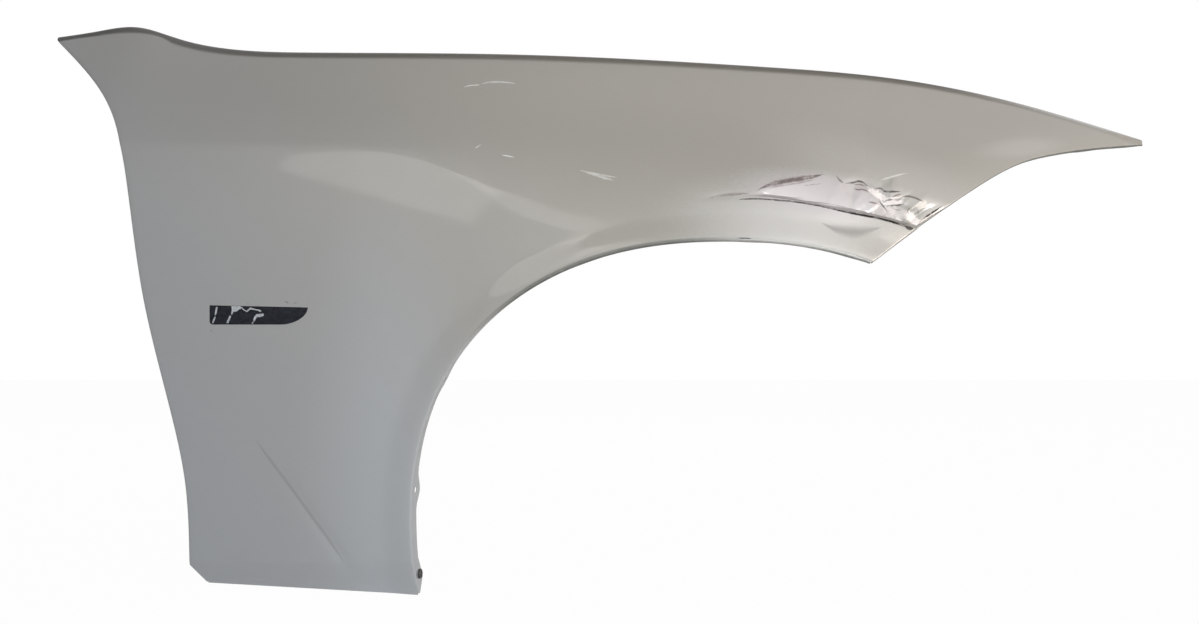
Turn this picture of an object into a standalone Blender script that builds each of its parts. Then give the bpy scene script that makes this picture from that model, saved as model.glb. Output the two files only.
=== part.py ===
"""Front right fender of a passenger car, with crash damage above the wheel arch.

One pressed steel panel with folded flanges, a dark insert that closes its side aperture,
and the one wheel-liner clip that is still in the arch flange.

X points forward, Y inboard and Z up, in metres. The panel is laid out from the centre of the
wheel arch, with Y = 0 at its outermost face. Then every piece is moved so that the origin lies
on the middle pad of the bonnet flange.
"""

import math

import bmesh
import bpy
import numpy as np
from mathutils import Matrix, Vector

# Sheet and bends
SHEET = 0.0008
EDGE_BEND = 0.0022
BONNET_BEND = 0.003
GAP = 0.0003

# Wheel arch, half a superellipse about the layout's centre
ARCH_HALF_WIDTH = 0.366
ARCH_RISE = 0.333
ARCH_EXPONENT = 2.27

# Corners of the outline, measured from the arch centre
HORN_REACH = 0.805
HORN_HEIGHT = 0.584
TIP_REACH = 0.545
TIP_HEIGHT = 0.4715
TIP_THICKNESS = 0.008
NOSE_CORNER_REACH = 0.167
SILL_REACH = 0.627
SILL_LINE_DROP = 0.043
SILL_DROP = 0.067
SILL_CHAMFER = 0.019
SILL_FALL = 0.064

# Bows of the edges off their chords: share of the chord, distance off it
TOP_BOW = (
    (0.035, 0.011),
    (0.072, 0.020),
    (0.107, 0.0105),
    (0.144, 0.0035),
    (0.225, 0.0065),
    (0.410, 0.0255),
    (0.627, 0.039),
    (0.760, 0.042),
    (0.870, 0.030),
)
REAR_BOW = (
    (0.157, 0.027),
    (0.269, 0.035),
    (0.490, 0.042),
    (0.710, 0.060),
    (0.794, 0.064),
    (0.885, 0.0515),
)
LAMP_BOW = (
    (0.151, 0.0175),
    (0.355, 0.0365),
    (0.500, 0.043),
    (0.648, 0.036),
)

# Shoulder line, sharp at the door and soft above the wheel
SHOULDER_REAR_REACH = 0.700
SHOULDER_REAR_HEIGHT = 0.447
SHOULDER_FRONT_HEIGHT = 0.364
SHOULDER_BOW = (
    (0.187, 0.012),
    (0.373, 0.022),
    (0.505, 0.010),
    (0.616, -0.004),
    (0.717, -0.0025),
    (0.860, 0.003),
)
SHOULDER_SHARP = 0.006
SHOULDER_SOFT = 0.060
SHOULDER_FADE_REAR = 0.40
SHOULDER_FADE_FRONT = 0.16
SHOULDER_NOSE_BOW = ((0.20, -0.004), (0.50, 0.006), (0.80, 0.006))

# Depth of the skin behind its outermost face
WIDEST_HEIGHT = 0.250
FLANK_CURVE = 0.166
SILL_TUCK = 0.034
SILL_TUCK_POWER = 2.2
SILL_LINE_SLOPE = 0.35
SILL_LINE_RADIUS = 0.004
CROWN_STRAIGHT = 0.72
BONNET_LINE_HORN = 0.098
BONNET_LINE_TIP = 0.207
BONNET_LINE_BOW = ((0.33, -0.038), (0.60, -0.047), (0.78, -0.033))
ROLL_HEIGHT = 0.010
ROLL_DEPTH = 0.014
ROLL_TIP_SHARE = 0.30
NOSE_INSET = 0.185
NOSE_POWER = 1.9
FLARE_WIDTH = 0.032
FLARE_HEIGHT = 0.003

# Slanting valley pressed into the leg
VALLEY_TOP = (-0.545, 0.111)
VALLEY_FOOT = (-0.442, -0.044)
VALLEY_HALF_WIDTH = 0.009
VALLEY_DEPTH = 0.0024
VALLEY_RUN_IN = 0.80
VALLEY_RUN_OUT = 0.12

# Crash damage: a fold from above the wheel to the headlamp edge, and the dent over it
FOLD_REAR_X = 0.005
FOLD_FRONT_X = 0.222
FOLD_REAR_Z = 0.380
FOLD_FRONT_Z = 0.350
FOLD_BOW = ((0.16, 0.009), (0.36, 0.010), (0.53, 0.008), (0.78, 0.0055))
FOLD_STEP = 0.004
FOLD_LIP = 0.0035
FOLD_LIP_REACH = 0.014
DENT_HEIGHT = 0.040
DENT_DEPTH = 0.010
DENT_RUN_IN = 0.100
DENT_REAR_SHARE = 0.15
CRUMPLE_REAR_X = 0.125
CRUMPLE_PITCH = 0.036
CRUMPLE_DEPTH = 0.005
CRUMPLE_SLANT = 0.6

# Folded flanges
DOOR_FLANGE = 0.018
ARCH_FLANGE = 0.016
ARCH_FLANGE_LEAN = 0.25
LAMP_FLANGE = 0.012
SILL_FLANGE = 0.022
FLANGE_END = 0.0006
FLANGE_RUN_OUT = 0.030
LOBE_EXTRA = 0.010
LOBE_HALF_LENGTH = 0.024

# Bonnet flange: a wall down from the top edge, then a ledge with flat screw pads
BONNET_WALL = 0.022
BONNET_WALL_HORN = 0.012
BONNET_WALL_TIP = 0.005
BONNET_LEDGE = 0.026
BONNET_LEDGE_END = 0.004
BONNET_RUN_OUT = 0.090
PAD_CENTRES = (-0.700, -0.400, -0.080, 0.190, 0.390)
PAD_HALF_LENGTH = 0.020
PAD_HOLE_RADIUS = 0.0045
ORIGIN_FROM_HOLE = 0.0125

# Door-side tabs, each with a screw hole
TAB_HEIGHTS = (0.015, 0.330)
TAB_HALF_HEIGHT = 0.018
TAB_LENGTH = 0.024
TAB_BEND = 0.0015
TAB_HOLE_RADIUS = 0.004

# Slots in the sill flange and clip holes in the arch and headlamp flanges
SILL_SLOT_SHARES = (0.30, 0.72)
SILL_SLOT_LENGTH = 0.012
SILL_SLOT_RADIUS = 0.0035
ARCH_CLIP_ANGLES = (189, 173, 152, 118, 85)
LAMP_CLIP_SHARES = (0.22, 0.55)
CLIP_HOLE_RADIUS = 0.0035
CLIP_HOLE_INBOARD = 0.014

# Side aperture
SLOT_SETBACK = 0.071
SLOT_LENGTH = 0.113
SLOT_HEIGHT = 0.0222
SLOT_BELOW_WIDEST = 0.0130
SLOT_TOP_FALL = 0.0025
SLOT_NOSE = 0.030
SLOT_NOSE_POWER = 0.9
SLOT_CORNER = 0.004

# Insert that closes the aperture
INSERT_CLEARANCE = 0.0004
INSERT_RECESS = 0.0006
INSERT_THICKNESS = 0.0030
INSERT_RIM = 0.005
INSERT_RIM_THICKNESS = 0.0015

# Liner clip in the foot of the arch flange
CLIP_HEAD_RADIUS = 0.0060
CLIP_HEAD_THICKNESS = 0.0020
CLIP_CROWN_RADIUS = 0.0042
CLIP_RIM_THICKNESS = 0.0008
CLIP_STEM_LENGTH = 0.0085
CLIP_BARB_RADIUS = 0.0042
CLIP_BARB_LENGTH = 0.0026
CLIP_TIP_RADIUS = 0.0016

# Net of faces: spacing, the row line's place at the nose, and rounds to find a crossing
ROW_NOSE_SHARE = 0.20
ROW_NOSE_BLEND = 0.075
ROW_NOSE_LEAD = 0.3
SETTLE_ROUNDS = 40
COLUMN_STEP = 0.027
DENT_COLUMN_STEP = 0.0105
LEG_ROW_STEP = 0.0205
ARCH_ROWS = 4
CROWN_ROWS = 9
CROWN_ROW_POWER = 1.5
ROLL_ROWS = 2
BEND_STEPS = 2
LEDGE_BEND_STEPS = 1
HOLE_SIDES = 12
CORNER_SIDES = 4
NOSE_SIDES = 8


def spline(knots):
    """Natural cubic curve through (position, value) knots, for numbers and arrays."""
    position, value = np.array(knots, dtype=float).T
    span = np.diff(position)
    slope = np.diff(value) / span
    size = len(position)
    system = np.eye(size)
    bend = np.zeros(size)
    for i in range(1, size - 1):
        system[i, i - 1 : i + 2] = span[i - 1], 2 * (span[i - 1] + span[i]), span[i]
        bend[i] = 6 * (slope[i] - slope[i - 1])
    curvature = np.linalg.solve(system, bend)

    def evaluate(at):
        i = np.clip(np.searchsorted(position, at) - 1, 0, size - 2)
        before = at - position[i]
        after = position[i + 1] - at
        cubic = (curvature[i] * after**3 + curvature[i + 1] * before**3) / (6 * span[i])
        left = (value[i] / span[i] - curvature[i] * span[i] / 6) * after
        right = (value[i + 1] / span[i] - curvature[i + 1] * span[i] / 6) * before
        return cubic + left + right

    return evaluate


def bowed_edge(start, end, bow):
    """Edge between two (position, value) corners, bowed off its chord by (share, rise) knots."""
    rise = spline([(0.0, 0.0), *bow, (1.0, 0.0)])

    def evaluate(at):
        share = (at - start[0]) / (end[0] - start[0])
        return start[1] + share * (end[1] - start[1]) + rise(np.clip(share, 0.0, 1.0))

    return evaluate


def smooth_step(share):
    """Ease from 0 to 1 as the share goes from 0 to 1."""
    share = np.clip(share, 0.0, 1.0)
    return share * share * (3.0 - 2.0 * share)


def soft_ramp(distance, radius):
    """Zero before 0 and equal to the distance after it, rounded over the radius both ways."""
    rounded = (distance + radius) ** 2 / (4.0 * radius)
    return np.where(distance < -radius, 0.0, np.where(distance > radius, distance, rounded))


def stops_between(start, end, step, stops=()):
    """Positions from start to end no further apart than the step, with every stop among them."""
    inner = [stop for stop in stops if start < stop < end]
    fixed = [start, *inner, end]
    positions = [start]
    for low, high in zip(fixed, fixed[1:]):
        count = max(1, math.ceil((high - low) / step))
        positions += [low + (high - low) * (k + 1) / count for k in range(count)]
    return positions


# Outline of the skin, inside the bends that carry its edges round to the flanges

ARCH_SKIN_HALF_WIDTH = ARCH_HALF_WIDTH + EDGE_BEND
ARCH_SKIN_RISE = ARCH_RISE + EDGE_BEND


def superellipse(at, reach, height):
    """Height of the superellipse at a distance along its other axis."""
    share = np.clip(np.abs(at) / reach, 0.0, 1.0)
    return height * (1.0 - share**ARCH_EXPONENT) ** (1.0 / ARCH_EXPONENT)


def arch_x(z):
    return -superellipse(z, ARCH_SKIN_RISE, ARCH_SKIN_HALF_WIDTH)


def arch_z(x):
    return superellipse(x, ARCH_SKIN_HALF_WIDTH, ARCH_SKIN_RISE)


HORN = (-HORN_REACH + EDGE_BEND, HORN_HEIGHT)
TIP_TOP = (TIP_REACH, TIP_HEIGHT)
TIP_FOOT = (TIP_REACH, TIP_HEIGHT - TIP_THICKNESS + EDGE_BEND)
SILL_CORNER = (-SILL_LINE_DROP, -SILL_REACH + EDGE_BEND)

top_z = bowed_edge(HORN, TIP_TOP, TOP_BOW)
lamp_z = bowed_edge((NOSE_CORNER_REACH, float(arch_z(NOSE_CORNER_REACH))), TIP_FOOT, LAMP_BOW)
door_x = bowed_edge(SILL_CORNER, HORN[::-1], REAR_BOW)
rear_shoulder_z = bowed_edge(
    (-SHOULDER_REAR_REACH, SHOULDER_REAR_HEIGHT),
    (NOSE_CORNER_REACH, SHOULDER_FRONT_HEIGHT),
    SHOULDER_BOW,
)
nose_shoulder_z = bowed_edge(
    (NOSE_CORNER_REACH, SHOULDER_FRONT_HEIGHT),
    (TIP_REACH, TIP_HEIGHT - TIP_THICKNESS),
    SHOULDER_NOSE_BOW,
)


def rear_x(z):
    """Door-side edge, with the chamfer below the sill line."""
    chamfer_slope = SILL_CHAMFER / (SILL_DROP - SILL_LINE_DROP)
    below = np.maximum(-SILL_LINE_DROP - z, 0.0)
    return np.where(below > 0.0, SILL_CORNER[1] + below * chamfer_slope, door_x(z))


def sill_z(x):
    chamfer_foot = -SILL_REACH + SILL_CHAMFER
    return -SILL_DROP + EDGE_BEND - SILL_FALL * (x - chamfer_foot)


def low_z(x):
    """Lower edge of the skin ahead of the leg: the arch, then the headlamp edge."""
    return np.where(x < NOSE_CORNER_REACH, arch_z(x), lamp_z(x))


def shoulder_z(x):
    """The line above which the skin leans inboard."""
    return np.where(x < NOSE_CORNER_REACH, rear_shoulder_z(x), nose_shoulder_z(x))


def row_line_z(x):
    """The shoulder line as a row of the net, kept above the headlamp edge at the nose."""
    low = low_z(np.maximum(x, 0.0))
    nose = low + ROW_NOSE_SHARE * (top_z(x) - low)
    blend = smooth_step((x - NOSE_CORNER_REACH) / ROW_NOSE_BLEND + ROW_NOSE_LEAD)
    return rear_shoulder_z(x) * (1.0 - blend) + nose * blend


# Depth of the skin at a point of its outline

fold_z = bowed_edge((FOLD_REAR_X, FOLD_REAR_Z), (FOLD_FRONT_X, FOLD_FRONT_Z), FOLD_BOW)
bonnet_line_y = bowed_edge(
    (-HORN_REACH, BONNET_LINE_HORN),
    (TIP_REACH, BONNET_LINE_TIP),
    BONNET_LINE_BOW,
)


def roll_height(x):
    """Height of the rolled band under the top edge, less where the panel tapers to its tip."""
    return np.minimum(ROLL_HEIGHT, ROLL_TIP_SHARE * (top_z(x) - low_z(np.maximum(x, 0.0))))


def nose_depth(x):
    return NOSE_INSET * (np.maximum(x, 0.0) / TIP_REACH) ** NOSE_POWER


def crown_depth(x, z):
    """The band above the shoulder leans inboard to the bonnet line, and its top edge rolls over."""
    fade = smooth_step((x + SHOULDER_FADE_REAR) / (SHOULDER_FADE_REAR - SHOULDER_FADE_FRONT))
    radius = SHOULDER_SHARP + (SHOULDER_SOFT - SHOULDER_SHARP) * fade
    height = top_z(x) - shoulder_z(x)
    rise = soft_ramp(z - shoulder_z(x), radius) / soft_ramp(height, radius)
    roll = roll_height(x)
    roll_depth = ROLL_DEPTH * roll / ROLL_HEIGHT
    rolled = np.clip(1.0 - (top_z(x) - z) / roll, 0.0, 1.0)
    lean = bonnet_line_y(x) - roll_depth - nose_depth(x) - flank_depth(top_z(x))
    return lean * (CROWN_STRAIGHT * rise + (1.0 - CROWN_STRAIGHT) * rise**2) + roll_depth * rolled**2


def flank_depth(z):
    """The side curves in above its widest height and tucks in below it."""
    above = np.maximum(z - WIDEST_HEIGHT, 0.0)
    below = np.maximum(WIDEST_HEIGHT - z, 0.0) / (WIDEST_HEIGHT + SILL_DROP)
    tuck = SILL_TUCK * below**SILL_TUCK_POWER
    under = SILL_LINE_SLOPE * soft_ramp(-SILL_LINE_DROP - z, SILL_LINE_RADIUS)
    return FLANK_CURVE * above**2 + tuck + under


def arch_flare(x, z):
    """The skin stands out a little along the arch."""
    across = np.abs(x) / ARCH_SKIN_HALF_WIDTH
    up = np.abs(z) / ARCH_SKIN_RISE
    ratio = (across**ARCH_EXPONENT + up**ARCH_EXPONENT) ** (1.0 / ARCH_EXPONENT)
    away = (ratio - 1.0) * ARCH_SKIN_RISE / FLARE_WIDTH
    return FLARE_HEIGHT * (1.0 - smooth_step(away))


def valley_depth(x, z):
    """Slanting valley in the leg, deepest near its foot."""
    run = np.array(VALLEY_FOOT) - np.array(VALLEY_TOP)
    length = float(np.hypot(*run))
    along = ((x - VALLEY_TOP[0]) * run[0] + (z - VALLEY_TOP[1]) * run[1]) / length**2
    across = ((x - VALLEY_TOP[0]) * run[1] - (z - VALLEY_TOP[1]) * run[0]) / length
    fade_in = smooth_step(along / VALLEY_RUN_IN)
    strength = fade_in * smooth_step((1.0 - along) / VALLEY_RUN_OUT + 0.5)
    return VALLEY_DEPTH * strength * np.exp(-((across / VALLEY_HALF_WIDTH) ** 2))


def crash_depth(x, z):
    """Dent above the fold, the lip pushed out below it, and the crumpled front of the dent."""
    over = z - fold_z(x)
    ahead = (x - FOLD_REAR_X) / DENT_RUN_IN
    strength = smooth_step(ahead)
    height = DENT_HEIGHT * (DENT_REAR_SHARE + (1.0 - DENT_REAR_SHARE) * strength)
    share = np.clip(over / height, 0.0, 1.0)
    dent = DENT_DEPTH * strength * smooth_step(over / FOLD_STEP) * (1.0 - smooth_step(share))
    lip = FOLD_LIP * strength * np.exp(-np.maximum(-over, 0.0) / FOLD_LIP_REACH)
    lip = lip * (1.0 - smooth_step(over / FOLD_STEP))
    phase = (x - CRUMPLE_REAR_X + CRUMPLE_SLANT * over) / CRUMPLE_PITCH
    facets = np.abs(phase - np.floor(phase) - 0.5) * 2.0 - 0.5
    window = smooth_step((x - CRUMPLE_REAR_X) / CRUMPLE_PITCH) * np.sin(np.pi * share)
    return dent - lip + CRUMPLE_DEPTH * facets * window


def skin_depth(x, z):
    formed = nose_depth(x) + crown_depth(x, z) + flank_depth(z) - arch_flare(x, z)
    return formed + valley_depth(x, z) + crash_depth(x, z)


# The skin as two nets of points: the leg behind the wheel and the crown above it


def settle(column_x, row_z, x, z):
    """Points where each column line, x for a height, meets each row line, z for an x."""
    for _ in range(SETTLE_ROUNDS):
        x = column_x(z)
        z = row_z(x)
    return np.stack([x, skin_depth(x, z), z], axis=-1)


def pad_edges():
    """X of both ends of every screw pad on the bonnet flange."""
    return sorted(centre + side * PAD_HALF_LENGTH for centre in PAD_CENTRES for side in (-1, 1))


KNEE_X = float(arch_x(WIDEST_HEIGHT))


def rear_columns():
    """Shares of the width from the door edge to the arch knee, with stops at the pads."""
    start = HORN[0]
    positions = stops_between(start, KNEE_X, COLUMN_STEP, pad_edges())
    return np.array([(x - start) / (KNEE_X - start) for x in positions])


def front_columns():
    """X of the columns ahead of the arch knee, closer together across the crash damage."""
    stops = sorted([*pad_edges(), NOSE_CORNER_REACH])
    dent_start = FOLD_REAR_X - DENT_COLUMN_STEP
    dent_end = FOLD_FRONT_X + 2 * DENT_COLUMN_STEP
    positions = stops_between(KNEE_X, dent_start, COLUMN_STEP, stops)
    positions += stops_between(dent_start, dent_end, DENT_COLUMN_STEP, stops)[1:]
    positions += stops_between(dent_end, TIP_REACH, COLUMN_STEP, stops)[1:]
    return np.array(positions[1:])


def tab_edges():
    return sorted(height + side * TAB_HALF_HEIGHT for height in TAB_HEIGHTS for side in (-1, 1))


def leg_net():
    """Rows from the sill up to the widest height, columns from the door edge to the arch."""
    share = rear_columns()[None, :]
    foot_rows = np.linspace(0.0, 1.0, 3)[:-1, None]
    heights = stops_between(-SILL_LINE_DROP, WIDEST_HEIGHT, LEG_ROW_STEP, tab_edges())
    height = np.array(heights)[:, None]

    def column_x(z):
        return rear_x(z) * (1.0 - share) + arch_x(z) * share

    def foot_row_z(x):
        return sill_z(x) * (1.0 - foot_rows) - SILL_LINE_DROP * foot_rows

    start = np.full((len(foot_rows), share.size), -SILL_REACH)
    foot = settle(column_x, foot_row_z, start, start * 0.0 - SILL_DROP)
    upper_z = np.broadcast_to(height, (height.size, share.size))
    upper = settle(column_x, lambda x: upper_z, upper_z, upper_z)
    return np.concatenate([foot, upper])


def crown_rows():
    """Row lines from the arch to the top edge: (share to shoulder, share to roll, share of roll)."""
    tabs = []
    for edge in tab_edges():
        rise = float(row_line_z(rear_x(edge))) - WIDEST_HEIGHT
        tabs.append((edge - WIDEST_HEIGHT) / rise)
    rows = [(t, 0.0, 0.0) for t in stops_between(0.0, 1.0, 1.0 / ARCH_ROWS, tabs)]
    rows += [(1.0, ((k + 1) / CROWN_ROWS) ** CROWN_ROW_POWER, 0.0) for k in range(CROWN_ROWS)]
    rows += [(1.0, 1.0, (k + 1) / ROLL_ROWS) for k in range(ROLL_ROWS)]
    return np.array(rows)


def crown_net():
    """Rows from the arch and headlamp edge to the top edge, columns from the door to the tip."""
    rear_share = rear_columns()
    front_x = front_columns()
    share = np.concatenate([rear_share, np.ones(len(front_x))])[None, :]
    line_x = np.concatenate([np.full(len(rear_share), KNEE_X), front_x])[None, :]
    to_shoulder, to_roll, of_roll = (column[:, None] for column in crown_rows().T)

    def column_x(z):
        return rear_x(z) * (1.0 - share) + line_x * share

    def row_z(x):
        low = np.where(x < KNEE_X, WIDEST_HEIGHT, low_z(np.maximum(x, KNEE_X)))
        middle = row_line_z(x)
        roll = roll_height(x)
        roll_foot = top_z(x) - roll
        below = low + (middle - low) * to_shoulder
        return below + (roll_foot - middle) * to_roll + roll * of_roll

    shape = (len(to_shoulder), share.size)
    start_x = np.broadcast_to(line_x, shape)
    return settle(column_x, row_z, start_x, np.full(shape, SHOULDER_REAR_HEIGHT))


# Flanges, each a net that starts on an edge of the skin


def outward_directions(edge):
    """Unit directions in the XZ plane that point away from the skin, left of the edge's run."""
    run = np.gradient(edge[:, [0, 2]], axis=0)
    out = np.stack([-run[:, 1], run[:, 0]], axis=1)
    return out / np.linalg.norm(out, axis=1)[:, None]


def edge_lengths(edge):
    steps = np.linalg.norm(np.diff(edge, axis=0), axis=1)
    return np.concatenate([[0.0], np.cumsum(steps)])


def run_out(edge, length):
    """0 at both ends of an edge, rising to 1 over the length."""
    along = edge_lengths(edge)
    nearest = np.minimum(along, along[-1] - along)
    return smooth_step(nearest / length)


def lobes(edge, centres):
    """1 at each centre, a length along the edge, and 0 beyond a lobe's half length."""
    along = edge_lengths(edge)
    near = [1.0 - smooth_step(np.abs(along - centre) / LOBE_HALF_LENGTH) for centre in centres]
    return np.max(near, axis=0)


def sweep(edge, out, profile):
    """Net of an edge moved along each (outward, inboard) step of a profile."""
    rings = []
    for outward, inboard in profile:
        ring = edge.copy()
        ring[:, 0] += out[:, 0] * outward
        ring[:, 2] += out[:, 1] * outward
        ring[:, 1] += inboard
        rings.append(ring)
    return np.stack(rings)


def bend_profile(radius):
    """Quarter turn from the skin's direction to inboard."""
    turns = np.linspace(0.0, math.pi / 2, BEND_STEPS + 1)
    return [(radius * math.sin(turn), radius * (1.0 - math.cos(turn))) for turn in turns]


def folded_flange(edge, depth, lean):
    """Bend along an edge and the flange behind it, leaning outward by a share of its depth."""
    out = outward_directions(edge)
    profile = bend_profile(EDGE_BEND)
    profile.append((EDGE_BEND + lean * depth, EDGE_BEND + depth))
    return sweep(edge, out, profile)


def flange_depth(edge, depth):
    return FLANGE_END + (depth - FLANGE_END) * run_out(edge, FLANGE_RUN_OUT)


def door_flange(edge):
    """Flange of the door edge, level inboard at each tab, and the tabs that turn back from it."""
    depth = flange_depth(edge, DOOR_FLANGE)
    spans = []
    for height in TAB_HEIGHTS:
        near = np.abs(edge[:, 2] - height) <= TAB_HALF_HEIGHT + SHEET
        rows = np.nonzero(near)[0]
        span = slice(rows[0], rows[-1] + 1)
        plane = edge[span, 1].max() + EDGE_BEND + DOOR_FLANGE
        depth[span] = plane - edge[span, 1] - EDGE_BEND
        spans.append(span)
    flange = folded_flange(edge, depth, 0.0)
    out = outward_directions(edge)
    nets = [flange]
    turn_back = [(-inboard, outward) for outward, inboard in bend_profile(TAB_BEND)]
    turn_back.append((-TAB_LENGTH, turn_back[-1][1]))
    for span in spans:
        nets.append(sweep(flange[-1][span], out[span], turn_back))
    return nets


def arch_clip_lengths(edge):
    """Lengths along the arch edge at which its clip holes lie."""
    angle = np.degrees(np.unwrap(np.arctan2(edge[:, 2], edge[:, 0])))
    along = edge_lengths(edge)
    return [float(np.interp(clip, angle, along)) for clip in ARCH_CLIP_ANGLES]


def arch_flange(edge):
    """Flange round the wheel, leaning to the wheel in the leg, wider at each clip."""
    clips = lobes(edge, arch_clip_lengths(edge))
    depth = flange_depth(edge, ARCH_FLANGE) + LOBE_EXTRA * clips * run_out(edge, FLANGE_RUN_OUT)
    in_leg = 1.0 - smooth_step(edge[:, 2] / WIDEST_HEIGHT)
    return folded_flange(edge, depth, ARCH_FLANGE_LEAN * in_leg)


def lamp_flange(edge):
    """Flange along the headlamp, wider at each clip."""
    length = edge_lengths(edge)[-1]
    clips = lobes(edge, [share * length for share in LAMP_CLIP_SHARES])
    depth = flange_depth(edge, LAMP_FLANGE) + LOBE_EXTRA * clips
    return folded_flange(edge, depth, 0.0)


def ledge_z(x):
    """Height of the bonnet ledge: level along each pad and straight between them."""
    ends = pad_edges()
    levels = [float(top_z(centre)) - BONNET_WALL for centre in PAD_CENTRES for _ in (0, 1)]
    start = float(top_z(HORN[0])) - BONNET_WALL_HORN
    tip = float(top_z(TIP_REACH)) - BONNET_WALL_TIP
    return np.interp(x, [HORN[0], *ends, TIP_REACH], [start, *levels, tip])


def ledge_width(x):
    """Width of the bonnet ledge, less towards the horn and the tip."""
    nearest = np.minimum(x - HORN[0], TIP_REACH - x)
    full = BONNET_LEDGE - BONNET_LEDGE_END
    return BONNET_LEDGE_END + full * smooth_step(nearest / BONNET_RUN_OUT)


def bonnet_flange(edge, below):
    """Roll of the top edge, wall down behind it and ledge inboard, from the skin's last two rows."""
    x, y, z = edge.T
    heading = np.arctan2(z - below[:, 2], y - below[:, 1])
    centre_y = y + BONNET_BEND * np.sin(heading)
    centre_z = z - BONNET_BEND * np.cos(heading)
    rings = [edge]
    for share in np.linspace(0.0, 1.0, BEND_STEPS + 1)[1:]:
        turned = heading * (1.0 - share) - math.pi / 2 * share
        ring_y = centre_y - BONNET_BEND * np.sin(turned)
        ring_z = centre_z + BONNET_BEND * np.cos(turned)
        rings.append(np.stack([x, ring_y, ring_z], axis=1))
    wall_y = centre_y + BONNET_BEND
    ledge = ledge_z(x)
    radius = np.minimum(BONNET_BEND, (centre_z - ledge) * 0.5)
    for turned in np.linspace(-math.pi / 2, 0.0, LEDGE_BEND_STEPS + 1):
        ring_y = wall_y + radius * (1.0 + math.sin(turned))
        ring_z = ledge + radius * (1.0 - math.cos(turned))
        rings.append(np.stack([x, ring_y, ring_z], axis=1))
    rings.append(np.stack([x, wall_y + radius + ledge_width(x), ledge], axis=1))
    return np.stack(rings)


# The whole sheet, and places on it that other pieces and cuts need


class PanelNets:
    """The open sheet's nets, and its edges as runs with the skin on their right."""

    def __init__(self):
        self.leg = leg_net()
        self.crown = crown_net()
        knee = len(rear_columns()) - 1
        nose = knee + 1 + int(np.argmin(np.abs(front_columns() - NOSE_CORNER_REACH)))
        self.door_edge = np.concatenate([self.leg[:, 0], self.crown[1:, 0]])
        arch = np.concatenate([self.leg[:, -1], self.crown[0, knee + 1 : nose + 1]])
        self.arch_edge = arch[::-1]
        self.lamp_edge = self.crown[0, nose:][::-1]
        self.sill_edge = self.leg[0][::-1]
        self.door_nets = door_flange(self.door_edge)
        self.arch = arch_flange(self.arch_edge)
        self.lamp = lamp_flange(self.lamp_edge)
        self.sill = folded_flange(
            self.sill_edge, flange_depth(self.sill_edge, SILL_FLANGE), 0.0
        )
        self.bonnet = bonnet_flange(self.crown[-1], self.crown[-2])

    def flanges(self):
        return [*self.door_nets, self.arch, self.lamp, self.sill, self.bonnet]

    def pad_centre(self, index):
        """Centre of a screw pad on the upper face of the bonnet ledge."""
        centre = PAD_CENTRES[index]
        ledge, end = self.bonnet[-2], self.bonnet[-1]
        start_y = np.interp(centre, ledge[:, 0], ledge[:, 1])
        end_y = np.interp(centre, end[:, 0], end[:, 1])
        return np.array([centre, (start_y + end_y) / 2, float(ledge_z(centre))])

    def origin(self):
        """Flat spot beside the hole of the middle pad."""
        return self.pad_centre(len(PAD_CENTRES) // 2) + np.array([ORIGIN_FROM_HOLE, 0.0, 0.0])

    def tab_centre(self, index):
        """Centre of a door-side tab on its inboard face."""
        net = self.door_nets[1 + index]
        return (net[-2].mean(axis=0) + net[-1].mean(axis=0)) / 2

    def on_flange(self, net, edge, length):
        """Point on a folded flange's outer face and the direction that it faces."""
        along = edge_lengths(edge)
        inner = [np.interp(length, along, net[-2][:, axis]) for axis in range(3)]
        outer = [np.interp(length, along, net[-1][:, axis]) for axis in range(3)]
        run = [np.interp(length, along, np.gradient(net[-1][:, axis])) for axis in range(3)]
        depth = np.subtract(outer, inner)
        point = inner + depth * (CLIP_HOLE_INBOARD - EDGE_BEND) / depth[1]
        facing = np.cross(run, depth)
        return point, facing / np.linalg.norm(facing)


# Blender objects


def clear_scene():
    for obj in list(bpy.data.objects):
        bpy.data.objects.remove(obj, do_unlink=True)


def new_collection(name):
    collection = bpy.data.collections.new(name)
    bpy.context.scene.collection.children.link(collection)
    return collection


def new_material(name, color, metallic, roughness):
    material = bpy.data.materials.new(name)
    material.use_nodes = True
    shader = material.node_tree.nodes["Principled BSDF"]
    shader.inputs["Base Color"].default_value = (*color, 1.0)
    shader.inputs["Metallic"].default_value = metallic
    shader.inputs["Roughness"].default_value = roughness
    return material


def mesh_object(name, build, collection):
    """Object whose mesh is filled in by a function that takes a bmesh."""
    mesh = bpy.data.meshes.new(name)
    bm = bmesh.new()
    build(bm)
    bm.to_mesh(mesh)
    bm.free()
    obj = bpy.data.objects.new(name, mesh)
    collection.objects.link(obj)
    return obj


def add_net(bm, net):
    """Quads between neighbouring points of a net, facing away from the car."""
    verts = [[bm.verts.new(point) for point in row] for row in net]
    for low, high in zip(verts, verts[1:]):
        for left in range(len(low) - 1):
            bm.faces.new((low[left], low[left + 1], high[left + 1], high[left]))


def add_solidify(obj, thickness):
    modifier = obj.modifiers.new("Sheet thickness", "SOLIDIFY")
    modifier.thickness = thickness
    modifier.offset = -1.0
    modifier.use_even_offset = True
    modifier.use_quality_normals = True


def add_boolean(obj, operation, other):
    modifier = obj.modifiers.new(other.name, "BOOLEAN")
    modifier.operation = operation
    modifier.solver = "EXACT"
    modifier.object = other


def hide_as_cutter(obj):
    obj.hide_render = True
    obj.display_type = "WIRE"


def rod_transform(centre, facing):
    """Matrix that turns +Z to the facing direction and moves to the centre."""
    turn = Vector((0.0, 0.0, 1.0)).rotation_difference(Vector(facing)).to_matrix().to_4x4()
    return Matrix.Translation(Vector(centre)) @ turn


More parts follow.
